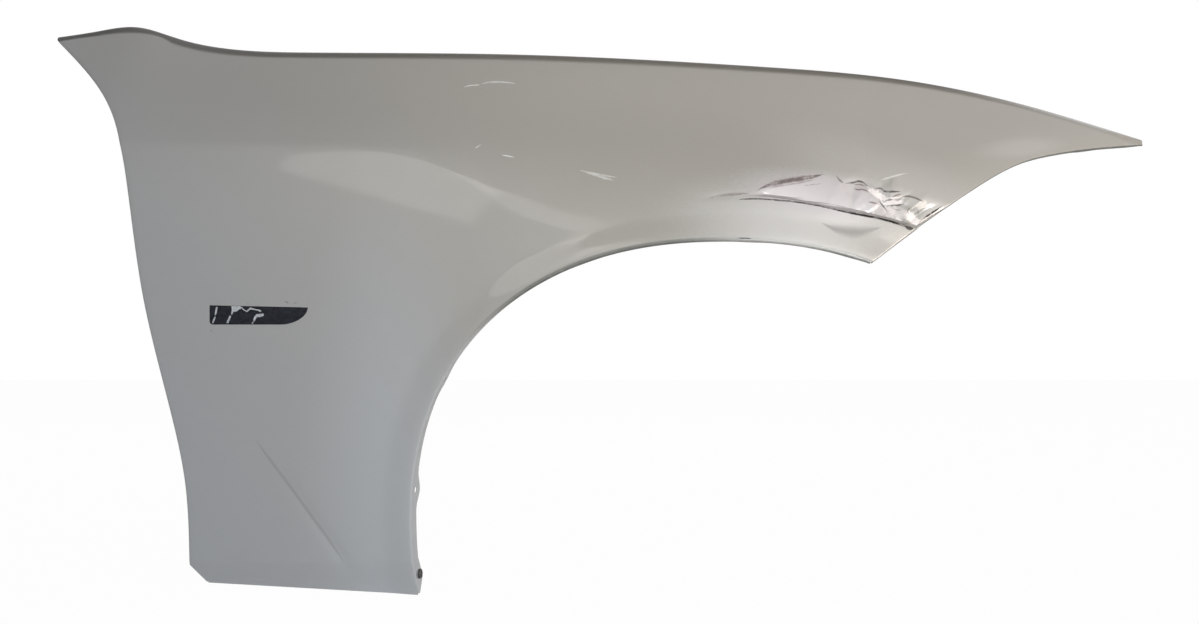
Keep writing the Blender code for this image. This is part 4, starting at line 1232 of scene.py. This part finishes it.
def add_solidify(obj, thickness):
    """Sheet thickness, with the second material slot on its back."""
    modifier = obj.modifiers.new("Sheet thickness", "SOLIDIFY")
    modifier.thickness = thickness
    modifier.offset = -1.0
    modifier.use_even_offset = True
    modifier.use_quality_normals = True
    modifier.material_offset = 1


def combine(obj, other, operation):
    """Cut another object from an object, or join it on, and remove the other one."""
    modifier = obj.modifiers.new("Combine", "BOOLEAN")
    modifier.operation = operation
    modifier.solver = "EXACT"
    modifier.object = other
    apply_modifiers(obj)
    bpy.data.objects.remove(other, do_unlink=True)


def rod_transform(centre, facing):
    """Matrix that turns +Z to the facing direction and moves to the centre."""
    turn = Vector((0.0, 0.0, 1.0)).rotation_difference(Vector(facing)).to_matrix().to_4x4()
    return Matrix.Translation(Vector(centre)) @ turn


def add_rod(bm, centre, facing, radius, length, stretch=1.0):
    """Closed rod for a hole, stretched along X for a slot."""
    squeeze = Matrix.Diagonal((stretch, 1.0, 1.0, 1.0))
    bmesh.ops.create_cone(
        bm,
        cap_ends=True,
        segments=HOLE_SIDES,
        radius1=radius,
        radius2=radius,
        depth=length,
        matrix=rod_transform(centre, facing) @ squeeze,
    )


def slot_outline(margin):
    """Outline of the side aperture in X and Z, grown by a margin, as a list of points."""
    foot = WIDEST_HEIGHT - SLOT_BELOW_WIDEST - margin
    rear = float(rear_x(WIDEST_HEIGHT)) + SLOT_SETBACK - margin
    nose_start = rear + SLOT_LENGTH - SLOT_NOSE + margin
    nose_rise = SLOT_HEIGHT - SLOT_TOP_FALL + 2 * margin
    points = [(rear, foot + SLOT_HEIGHT + 2 * margin)]
    for turn in np.linspace(math.pi, 1.5 * math.pi, CORNER_SIDES + 1):
        x = rear + SLOT_CORNER * (1.0 + math.cos(turn))
        z = foot + SLOT_CORNER * (1.0 + math.sin(turn))
        points.append((x, z))
    for turn in np.linspace(0.0, math.pi / 2, NOSE_SIDES + 1):
        x = nose_start + (SLOT_NOSE + margin) * math.sin(turn)
        z = foot + nose_rise * (1.0 - math.cos(turn)) ** SLOT_NOSE_POWER
        points.append((x, z))
    return points


def outline_solid(name, outline, near_y, far_y, rounding=0.0):
    """Flat outline in X and Z, filled and extruded, with its edges rounded if asked."""
    curve = bpy.data.curves.new(name, "CURVE")
    curve.dimensions = "2D"
    curve.fill_mode = "BOTH"
    curve.extrude = (far_y - near_y) / 2 - rounding
    curve.bevel_depth = rounding
    curve.bevel_resolution = ROUNDING_STEPS
    curve.offset = -rounding
    line = curve.splines.new("POLY")
    line.points.add(len(outline) - 1)
    for point, (x, z) in zip(line.points, outline):
        point.co = (x, z, 0.0, 1.0)
    line.use_cyclic_u = True
    flat = bpy.data.objects.new(name + "_outline", curve)
    bpy.context.scene.collection.objects.link(flat)
    flat.rotation_euler = (math.pi / 2, 0.0, 0.0)
    flat.location = (0.0, (near_y + far_y) / 2, 0.0)
    bpy.context.view_layer.update()
    graph = bpy.context.evaluated_depsgraph_get()
    mesh = bpy.data.meshes.new_from_object(flat.evaluated_get(graph))
    mesh.transform(flat.matrix_world)
    mesh.name = name
    mesh.materials.clear()
    weld(mesh, turn_outward=True)
    bpy.data.objects.remove(flat, do_unlink=True)
    return new_mesh_object(name, mesh)


def hole_cutter():
    """One cutter with every round hole and slot of the flanges."""

    def build(bm):
        for index in range(len(PAD_CENTRES)):
            add_rod(bm, nets.pad_centre(index), (0, 0, 1), PAD_HOLE_RADIUS, HOLE_CUTTER_LENGTH)
        for index in range(len(TAB_HEIGHTS)):
            add_rod(bm, nets.tab_centre(index), (0, 1, 0), TAB_HOLE_RADIUS, HOLE_CUTTER_LENGTH)
        slot_stretch = SILL_SLOT_LENGTH / (2 * SILL_SLOT_RADIUS)
        sill_slots = edge_lengths(nets.sill_edge)[-1] * np.array(SILL_SLOT_SHARES)
        lamp_clips = edge_lengths(nets.lamp_edge)[-1] * np.array(LAMP_CLIP_SHARES)
        arch_clips = arch_clip_lengths(nets.arch_edge)
        for net, edge, lengths, radius, stretch in (
            (nets.sill, nets.sill_edge, sill_slots, SILL_SLOT_RADIUS, slot_stretch),
            (nets.arch, nets.arch_edge, arch_clips, CLIP_HOLE_RADIUS, 1.0),
            (nets.lamp, nets.lamp_edge, lamp_clips, CLIP_HOLE_RADIUS, 1.0),
        ):
            for length in lengths:
                point, facing = nets.on_flange(net, edge, length)
                add_rod(bm, point, facing, radius, HOLE_CUTTER_LENGTH, stretch)

    return mesh_object("flange_holes", build)


def make_skin():
    """The whole pressed panel on the fine net, with thickness, holes and aperture."""
    mesh = net_mesh("fender_skin", [nets.leg, nets.crown, *nets.flanges()])
    skin = new_mesh_object("fender_skin", mesh)
    mesh.materials.append(paint_material())
    mesh.materials.append(back_material())
    add_solidify(skin, SHEET)
    apply_modifiers(skin)
    aperture = outline_solid("side_aperture", slot_outline(0.0), -CUTTER_REACH, CUTTER_REACH)
    for cutter in (hole_cutter(), aperture):
        combine(skin, cutter, "DIFFERENCE")
    shade_smooth(skin, PANEL_SHARP_ANGLE)
    return skin


def make_insert():
    """Dark moulded insert: a face with rounded edges on a rim behind the sheet."""
    face_back = INSERT_RECESS + INSERT_THICKNESS
    rim_face = SHEET + GAP
    face = outline_solid(
        "insert_face", slot_outline(-INSERT_CLEARANCE), INSERT_RECESS, face_back, INSERT_ROUNDING
    )
    rim = outline_solid(
        "insert_rim", slot_outline(INSERT_RIM), rim_face, rim_face + INSERT_RIM_THICKNESS
    )
    combine(face, rim, "UNION")
    face.data.materials.append(insert_material())
    shade_smooth(face, PIECE_SHARP_ANGLE)
    return face


def make_film():
    """Torn flakes of grey film that are still stuck on the insert."""

    def build(bm):
        for outline in FILM_FLAKES:
            rings = []
            for y in (INSERT_RECESS, INSERT_RECESS - FILM_THICKNESS):
                ring = [bm.verts.new((x / MM_PER_M, y, z / MM_PER_M)) for x, z in outline]
                bm.faces.new(ring)
                rings.append(ring)
            back, front = rings
            for index in range(len(outline)):
                bm.faces.new((back[index - 1], back[index], front[index], front[index - 1]))
        bmesh.ops.recalc_face_normals(bm, faces=bm.faces)

    film = mesh_object("insert_film", build)
    film.data.materials.append(stained_material("grey_film", *FILM_LOOK))
    return film


def make_clip():
    """Push-in liner clip: a turned head with a dished top, and a barbed stem."""
    length = arch_clip_lengths(nets.arch_edge)[0]
    point, facing = nets.on_flange(nets.arch, nets.arch_edge, length)
    stem = CLIP_HOLE_RADIUS - GAP
    top = GAP + CLIP_HEAD_THICKNESS
    behind = -SHEET - 2 * GAP
    tip = behind - CLIP_STEM_LENGTH
    profile = [(0.0, top - CLIP_DISH), (CLIP_DISH_RADIUS, top - CLIP_DISH)]
    profile.append((CLIP_DISH_RIM_RADIUS, top))
    for turn in np.linspace(0.0, math.pi / 2, CLIP_CROWN_STEPS + 1):
        radius = CLIP_CROWN_RADIUS + (CLIP_HEAD_RADIUS - CLIP_CROWN_RADIUS) * math.sin(turn)
        drop = (CLIP_HEAD_THICKNESS - CLIP_RIM_THICKNESS) * (1.0 - math.cos(turn))
        profile.append((radius, top - drop))
    profile += [(CLIP_HEAD_RADIUS, GAP), (stem, GAP), (stem, behind)]
    profile += [(CLIP_BARB_RADIUS, behind - CLIP_BARB_LENGTH), (CLIP_TIP_RADIUS, tip), (0.0, tip)]

    def build(bm):
        verts = [bm.verts.new((radius, 0.0, height)) for radius, height in profile]
        for start, end in zip(verts, verts[1:]):
            bm.edges.new((start, end))

    clip = mesh_object("clip_head", build)
    modifier = clip.modifiers.new("Turned", "SCREW")
    modifier.steps = HOLE_SIDES
    modifier.render_steps = HOLE_SIDES
    modifier.use_merge_vertices = True
    modifier.merge_threshold = CLIP_WELD
    apply_modifiers(clip)
    clip.data.transform(rod_transform(point, facing))
    clip.data.materials.append(stained_material("black_nylon", *CLIP_LOOK))
    shade_smooth(clip, PIECE_SHARP_ANGLE)
    return clip


# Materials


def connect(tree, value, socket):
    """Link an output to a socket, or set a plain number or colour on it."""
    if isinstance(value, bpy.types.NodeSocket):
        tree.links.new(value, socket)
    else:
        socket.default_value = value


def add_node(tree, kind, **inputs):
    """New shader node with its inputs linked or set by name, with _ for a space."""
    node = tree.nodes.new("ShaderNode" + kind)
    for name, value in inputs.items():
        connect(tree, value, node.inputs[name.replace("_", " ")])
    return node


class Shading:
    """One material, and the patterns over the layout that colour it."""

    def __init__(self, name):
        self.material = bpy.data.materials.new(name)
        self.material.use_nodes = True
        self.tree = self.material.node_tree
        coordinates = self.add("TexCoord").outputs
        self.place = self.add("Mapping", Vector=coordinates["Object"], Location=origin).outputs[0]
        place = self.add("SeparateXYZ", Vector=self.place).outputs
        normal = self.add("SeparateXYZ", Vector=coordinates["Normal"]).outputs
        self.x = place["X"]
        self.z = place["Z"]
        self.facing_in = normal["Y"]
        self.facing_up = normal["Z"]

    @cached_property
    def ragged(self):
        """Noise about 0 that breaks up the rim of a line or a spot."""
        return self.math("SUBTRACT", self.noise(*RAGGED_NOISE), NOISE_MIDDLE)

    @cached_property
    def patchy(self):
        """Noise that thins a line in places."""
        return self.pattern(PATCHY_NOISE, PATCHY_LEVELS)

    def add(self, kind, **inputs):
        return add_node(self.tree, kind, **inputs)

    def math(self, operation, *values):
        node = self.add("Math")
        node.operation = operation
        for value, socket in zip(values, node.inputs):
            connect(self.tree, value, socket)
        return node.outputs[0]

    def product(self, first, second):
        return self.math("MULTIPLY", first, second)

    def larger(self, first, second):
        return self.math("MAXIMUM", first, second)

    def scaled(self, value, factor, offset):
        return self.math("MULTIPLY_ADD", value, factor, offset)

    def between(self, value, low, high, out_low=0.0, out_high=1.0):
        """Smooth step of a value from one range to another."""
        node = self.add(
            "MapRange", Value=value, From_Min=low, From_Max=high, To_Min=out_low, To_Max=out_high
        )
        node.interpolation_type = "SMOOTHSTEP"
        return node.outputs[0]

    def noise(self, scale, detail, stretch=EVEN, roughness=NOISE_ROUGHNESS):
        """Noise from 0 to 1 over the layout, with a scale in cells a metre."""
        place = self.add("Mapping", Vector=self.place, Scale=stretch).outputs[0]
        node = self.add("TexNoise", Vector=place, Scale=scale, Detail=detail, Roughness=roughness)
        return node.outputs["Fac"]

    def pattern(self, noise, levels):
        """Noise that rises from 0 to 1 between its levels."""
        return self.between(self.noise(*noise), *levels)

    def mix(self, share, first, second):
        """Colour between two colours."""
        node = self.add("Mix")
        node.data_type = "RGBA"
        for value, name in ((share, "Factor"), (first, "A"), (second, "B")):
            connect(self.tree, value, node.inputs[name])
        return node.outputs["Result"]

    def cover(self, color, share, strength, tone):
        """Colour with another tone over it."""
        return self.mix(self.product(share, strength), color, tone)

    def above_line(self, knots):
        """Height of a point above the curve through (x, z) knots in millimetres."""
        x, z = np.array(knots, dtype=float).T / MM_PER_M
        low_x, low_z = x.min(), z.min()
        width, height = np.ptp(x), np.ptp(z)
        share = self.math("DIVIDE", self.math("SUBTRACT", self.x, low_x), width)
        node = self.add("FloatCurve", Value=share)
        curve = node.mapping.curves[0]
        for position in x[1:-1]:
            curve.points.new((position - low_x) / width, 0.0)
        for point, position, value in zip(curve.points, x, z):
            point.location = ((position - low_x) / width, (value - low_z) / height)
        node.mapping.update()
        return self.math("SUBTRACT", self.z, self.scaled(node.outputs[0], height, low_z))

    def from_arch(self):
        """1 on the wheel arch, and more further out."""
        powers = []
        for side, reach in ((self.x, ARCH_SKIN_HALF_WIDTH), (self.z, ARCH_SKIN_RISE)):
            share = self.math("DIVIDE", self.math("ABSOLUTE", side), reach)
            powers.append(self.math("POWER", share, ARCH_EXPONENT))
        return self.math("POWER", self.math("ADD", *powers), 1.0 / ARCH_EXPONENT)

    def within(self, low_x, high_x, fade):
        """1 between two X, 0 beyond them, in millimetres."""
        start = self.between(self.x, low_x / MM_PER_M, (low_x + fade) / MM_PER_M)
        end = self.between(self.x, (high_x - fade) / MM_PER_M, high_x / MM_PER_M, 1.0, 0.0)
        return self.product(start, end)

    def stroke(self, knots, half_width, ragged, taper, core=LINE_CORE):
        """Ragged line along a curve, thinner at its ends: 1 on it and 0 off it, in millimetres."""
        wavy = self.scaled(self.ragged, ragged / MM_PER_M, self.above_line(knots))
        body = self.within(knots[0][0], knots[-1][0], taper)
        inner = self.product(body, half_width * core / MM_PER_M)
        rim = self.scaled(body, half_width / MM_PER_M, LINE_LEAST)
        on_line = self.between(self.math("ABSOLUTE", wavy), inner, rim, 1.0, 0.0)
        return self.product(on_line, self.between(body, 0.0, LINE_FADE))

    def spot(self, centre, reach, height, slant, soft, broken=SPOT_RAGGED):
        """1 inside an oval patch and 0 outside it, in millimetres, with a broken rim."""
        across = self.math("SUBTRACT", self.x, centre[0] / MM_PER_M)
        up = self.math("SUBTRACT", self.z, centre[1] / MM_PER_M)
        up = self.scaled(across, -slant, up)
        squares = []
        for side, size in ((across, reach), (up, height)):
            squares.append(self.math("POWER", self.math("DIVIDE", side, size / MM_PER_M), 2.0))
        distance = self.math("SQRT", self.math("ADD", *squares))
        uneven = self.scaled(self.ragged, broken, distance)
        return self.between(uneven, 1.0 - soft, 1.0 + soft, 1.0, 0.0)

    def bump(self, height, distance):
        return self.add("Bump", Height=height, Distance=distance, Strength=1.0).outputs["Normal"]

    def finish(self, **values):
        """Set the shader's sockets by name, with _ for a space."""
        shader = self.tree.nodes["Principled BSDF"]
        for name, value in values.items():
            connect(self.tree, value, shader.inputs[name.replace("_", " ")])
        return self.material


def top_line():
    """The top edge as (x, z) knots in millimetres."""
    positions = np.linspace(HORN[0], TIP_REACH, TOP_LINE_KNOTS)
    return [(MM_PER_M * x, MM_PER_M * float(top_z(x))) for x in positions]


def flange_dirt_and_shade(made):
    """Dirt and painted shade on the faces that look ahead, back or down, and on the rim of the arch."""
    side_on = made.between(made.facing_in, *SIDE_ON_RANGE)
    side_on = made.product(side_on, made.between(made.facing_up, *LEVEL_RANGE))
    rim = made.product(made.between(made.from_arch(), *RIM_RATIOS), RIM_DIRT_AND_SHADE)
    under = made.larger(made.between(made.facing_up, *UNDER_RANGE), rim)
    under = made.product(under, made.between(made.z, *UNDER_HEIGHTS))
    dirt_and_shade = made.larger(made.product(side_on, SIDE_DIRT_AND_SHADE), under)
    return made.product(dirt_and_shade, made.pattern(DIRT_AND_SHADE_NOISE, DIRT_AND_SHADE_LEVELS))


def with_patches(made, color):
    """Colour with the patches of painted light and shade and the painted glints, and how far the glints
    dull the paint.
    """
    for centre, reach, height, slant, soft, strength, tone in PAINTED_LIGHT_AND_SHADE_PATCHES:
        patch = made.spot(centre, reach, height, slant, soft)
        color = made.cover(color, patch, strength, tone)
    broken = 0.0
    for centre, reach, height, slant, soft, strength, tone in PAINTED_GLINT_PATCHES:
        patch = made.spot(centre, reach, height, slant, soft, GLINT_RAGGED)
        color = made.cover(color, patch, strength, tone)
        broken = made.larger(patch, broken)
    return color, broken


def with_marks(made, color, broken):
    """Colour with painted shades, then cracks with painted shadow, scuffs and painted glints, and how
    far these dull the paint.
    """
    for knots, half_width, ragged, taper, strength, tone in SHADE_MARKS:
        line = made.stroke(knots, half_width, ragged, taper, core=0.0)
        color = made.cover(color, line, strength, tone)
    marks = FOLD_MARKS + SCUFF_MARKS + CRUMPLE_MARKS + PAINTED_GLINT_MARKS + HANDLING_MARKS
    for knots, half_width, ragged, taper, strength, tone in marks:
        line = made.product(made.stroke(knots, half_width, ragged, taper), strength)
        line = made.product(line, made.patchy)
        color = made.mix(line, color, tone)
        broken = made.larger(line, broken)
    return color, broken


def paint_material():
    """Light grey clear-coated paint with orange peel, dust and scuffs, and painted light, shade and
    glints.
    """
    made = Shading("grey_paint")
    # Painted cool and warm light: the grey turns cool low down and to the rear, warm high and ahead
    level = made.scaled(made.x, PAINTED_LIGHT_TINT_SLOPE, made.z)
    cloud = made.scaled(made.noise(*TINT_NOISE), PAINTED_LIGHT_TINT_CLOUD, level)
    color = made.mix(made.between(cloud, *PAINTED_LIGHT_TINT_LEVELS), PAINT_AND_PAINTED_COOL_LIGHT, PAINT_AND_PAINTED_WARM_LIGHT)
    color = made.cover(color, made.pattern(FLAKE_NOISE, FLAKE_LEVELS), FLAKE_SHARE, PAINT_FLAKE)
    dust = made.pattern(DUST_NOISE, DUST_LEVELS)
    color = made.cover(color, dust, DUST_SHARE, DUST)
    # Painted dark reflection on the rolled band under the top edge, weaker towards the tip
    rolled = made.between(made.above_line(top_line()), *ROLL_DARK_REFLECTION_LEVELS)
    rolled = made.product(rolled, made.between(made.x, *ROLL_DARK_REFLECTION_FADE))
    color = made.cover(color, rolled, ROLL_DARK_REFLECTION_SHARE, PAINTED_DARK_REFLECTION)
    # Dirt with painted shade on faces that look ahead, back or down and on the arch rim
    dirt_and_shade = flange_dirt_and_shade(made)
    color = made.cover(color, dirt_and_shade, DIRT_AND_SHADE_SHARE, FLANGE_DIRT_AND_SHADE)
    # Painted light, shade and glints, and the marks in the paint
    color, broken = with_patches(made, color)
    color, broken = with_marks(made, color, broken)
    dulled = made.larger(broken, made.larger(rolled, dirt_and_shade))
    for centre, reach, height, slant, soft, strength in CRAZED_PATCHES:
        crazed = made.product(made.spot(centre, reach, height, slant, soft), strength)
        dulled = made.larger(dulled, crazed)
    rough = made.scaled(dust, DUST_ROUGHNESS, PAINT_ROUGHNESS)
    peel = made.noise(*PEEL_NOISE)
    return made.finish(
        Base_Color=color,
        Metallic=made.scaled(dulled, -PAINT_METALLIC, PAINT_METALLIC),
        Roughness=made.scaled(dulled, DULL_ROUGHNESS, rough),
        Specular_IOR_Level=made.scaled(dulled, -DULL_SPECULAR_LOSS, PAINT_SPECULAR),
        Normal=made.bump(made.scaled(broken, BROKEN_DEPTH, peel), GRAIN_HEIGHT),
        Coat_Weight=made.scaled(dulled, -DULL_COAT_LOSS, 1.0),
        Coat_Roughness=COAT_ROUGHNESS,
        Coat_Normal=made.bump(peel, PEEL_HEIGHT),
    )


def back_material():
    """Back of the sheet: dark dip primer with a thin overspray of the paint, dust and stains."""
    made = Shading("primer_back")
    cloud = made.math("SUBTRACT", made.noise(*SPRAY_NOISE), NOISE_MIDDLE)
    from_arch = made.scaled(cloud, ARCH_SPRAY_CLOUD, made.from_arch())
    from_top = made.scaled(cloud, TOP_SPRAY_CLOUD, made.above_line(top_line()))
    at_arch = made.between(from_arch, *ARCH_SPRAY_RATIOS)
    at_top = made.between(from_top, *TOP_SPRAY_LEVELS)
    spray = made.scaled(made.larger(at_arch, at_top), SPRAY_SHARE, made.product(cloud, SPRAY_CLOUD))
    low = made.scaled(made.between(made.z, *DIRT_HEIGHTS), LOW_DIRT_SHARE, DIRT_SHARE)
    splash = made.pattern(SPLASH_NOISE, SPLASH_LEVELS)
    dirt = made.product(low, made.larger(splash, made.pattern(SPECK_NOISE, SPECK_LEVELS)))
    return made.finish(
        Base_Color=made.mix(dirt, made.mix(spray, PRIMER, OVERSPRAY), ROAD_DIRT),
        Roughness=made.scaled(dirt, DIRT_ROUGHNESS, PRIMER_ROUGHNESS),
        Normal=made.bump(made.noise(*PRIMER_NOISE), PRIMER_GRAIN),
    )


def insert_material():
    """Glossy black plastic with fine scratches and a haze of dust."""
    made = Shading("black_insert")
    haze = made.pattern(HAZE_NOISE, HAZE_LEVELS)
    color = made.cover(INSERT_BLACK, haze, HAZE_SHARE, INSERT_DUST)
    scratch = made.pattern(SCRATCH_NOISE, SCRATCH_LEVELS)
    return made.finish(
        Base_Color=made.cover(color, scratch, SCRATCH_SHARE, INSERT_DUST),
        Roughness=made.scaled(haze, HAZE_ROUGHNESS, INSERT_ROUGHNESS),
        Specular_IOR_Level=INSERT_SPECULAR,
        Normal=made.bump(made.noise(*INSERT_NOISE), INSERT_GRAIN),
    )


def stained_material(name, stain, levels, clean, stained, roughness, grain, grain_height):
    """Dull material of one tone, clouded with another."""
    made = Shading(name)
    return made.finish(
        Base_Color=made.mix(made.pattern(stain, levels), clean, stained),
        Roughness=roughness,
        Normal=made.bump(made.noise(*grain), grain_height),
    )


# Stage, lights and camera


def seen_directly(tree):
    """1 for camera, glossy and transmission rays."""
    path = add_node(tree, "LightPath")
    seen = path.outputs["Is Camera Ray"]
    for name in ("Is Glossy Ray", "Is Transmission Ray"):
        either = add_node(tree, "Math")
        either.operation = "MAXIMUM"
        connect(tree, seen, either.inputs[0])
        connect(tree, path.outputs[name], either.inputs[1])
        seen = either.outputs[0]
    return seen


def show_white(tree, white_share, surface, white, output):
    """Output a surface, or white by a share where it is seen directly."""
    share = add_node(tree, "Math")
    share.operation = "MULTIPLY"
    mix = add_node(tree, "MixShader")
    for value, socket in (
        (seen_directly(tree), share.inputs[0]),
        (white_share, share.inputs[1]),
        (share.outputs[0], mix.inputs[0]),
        (surface.outputs[0], mix.inputs[1]),
        (white.outputs[0], mix.inputs[2]),
        (mix.outputs[0], output.inputs["Surface"]),
    ):
        connect(tree, value, socket)


def make_floor(low):
    """Pale floor, white to the camera, that keeps the shadow of the object."""

    def build(bm):
        bmesh.ops.create_grid(bm, x_segments=FLOOR_FACES, y_segments=FLOOR_FACES, size=FLOOR_REACH)

    floor = mesh_object("floor", build)
    floor.location = (0.0, 0.0, low - FLOOR_GAP)
    material = bpy.data.materials.new("pale_floor")
    material.use_nodes = True
    tree = material.node_tree
    shader = tree.nodes["Principled BSDF"]
    shader.inputs["Base Color"].default_value = FLOOR_COLOR
    shader.inputs["Roughness"].default_value = FLOOR_ROUGHNESS
    shader.inputs["Specular IOR Level"].default_value = 0.0
    white = add_node(tree, "Emission", Color=WHITE, Strength=1.0)
    show_white(tree, FLOOR_WHITE_SHARE, shader, white, tree.nodes["Material Output"])
    floor.data.materials.append(material)


def make_world():
    """White to the camera and in reflections, and a soft even light on every surface."""
    world = bpy.data.worlds.new("studio")
    bpy.context.scene.world = world
    world.use_nodes = True
    tree = world.node_tree
    tree.nodes.clear()
    light = add_node(tree, "Background", Color=ROOM_LIGHT)
    white = add_node(tree, "Background", Color=WHITE)
    show_white(tree, 1.0, light, white, add_node(tree, "OutputWorld"))


def make_softbox(name, place, target, size, turn, radiance, color):
    """Area light that faces a point, given as the radiance of its face."""
    light = bpy.data.lights.new(name, "AREA")
    light.shape = "RECTANGLE"
    light.size, light.size_y = size
    light.color = color
    light.energy = radiance * math.pi * size[0] * size[1]
    lamp = bpy.data.objects.new(name, light)
    bpy.context.scene.collection.objects.link(lamp)
    facing = (Vector(place) - Vector(target)).to_track_quat("Z", "Y").to_matrix().to_4x4()
    turned = facing @ Matrix.Rotation(math.radians(turn), 4, "Z")
    lamp.location = place
    lamp.rotation_euler = turned.to_euler()


def make_camera():
    """Camera square to the panel, at the photograph's distance and height."""
    data = bpy.data.cameras.new("camera")
    data.sensor_width = SENSOR_WIDTH
    data.lens = SENSOR_WIDTH * CAMERA_DISTANCE / FRAME_WIDTH
    camera = bpy.data.objects.new("camera", data)
    bpy.context.scene.collection.objects.link(camera)
    camera.location = (
        CAMERA_CENTRE[0] - origin[0],
        -CAMERA_DISTANCE - origin[1],
        CAMERA_CENTRE[1] - origin[2],
    )
    camera.rotation_euler = (math.pi / 2, 0.0, 0.0)
    bpy.context.scene.camera = camera


def dress(piece, node=None):
    """Move a piece from the layout to the part's frame, and tie it to the CAD."""
    piece.data.transform(Matrix.Translation(-Vector(origin)))
    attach(piece, "root")
    if node:
        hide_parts(node)


def main():
    dress(make_skin(), "fender_panel")
    dress(make_insert(), "side_insert")
    dress(make_film())
    dress(make_clip(), "liner_clip")
    make_floor(cad_box[0][2])
    make_world()
    for softbox in SOFTBOXES:
        make_softbox(*softbox)
    make_camera()
    bpy.context.scene.view_settings.view_transform = "Standard"


main()
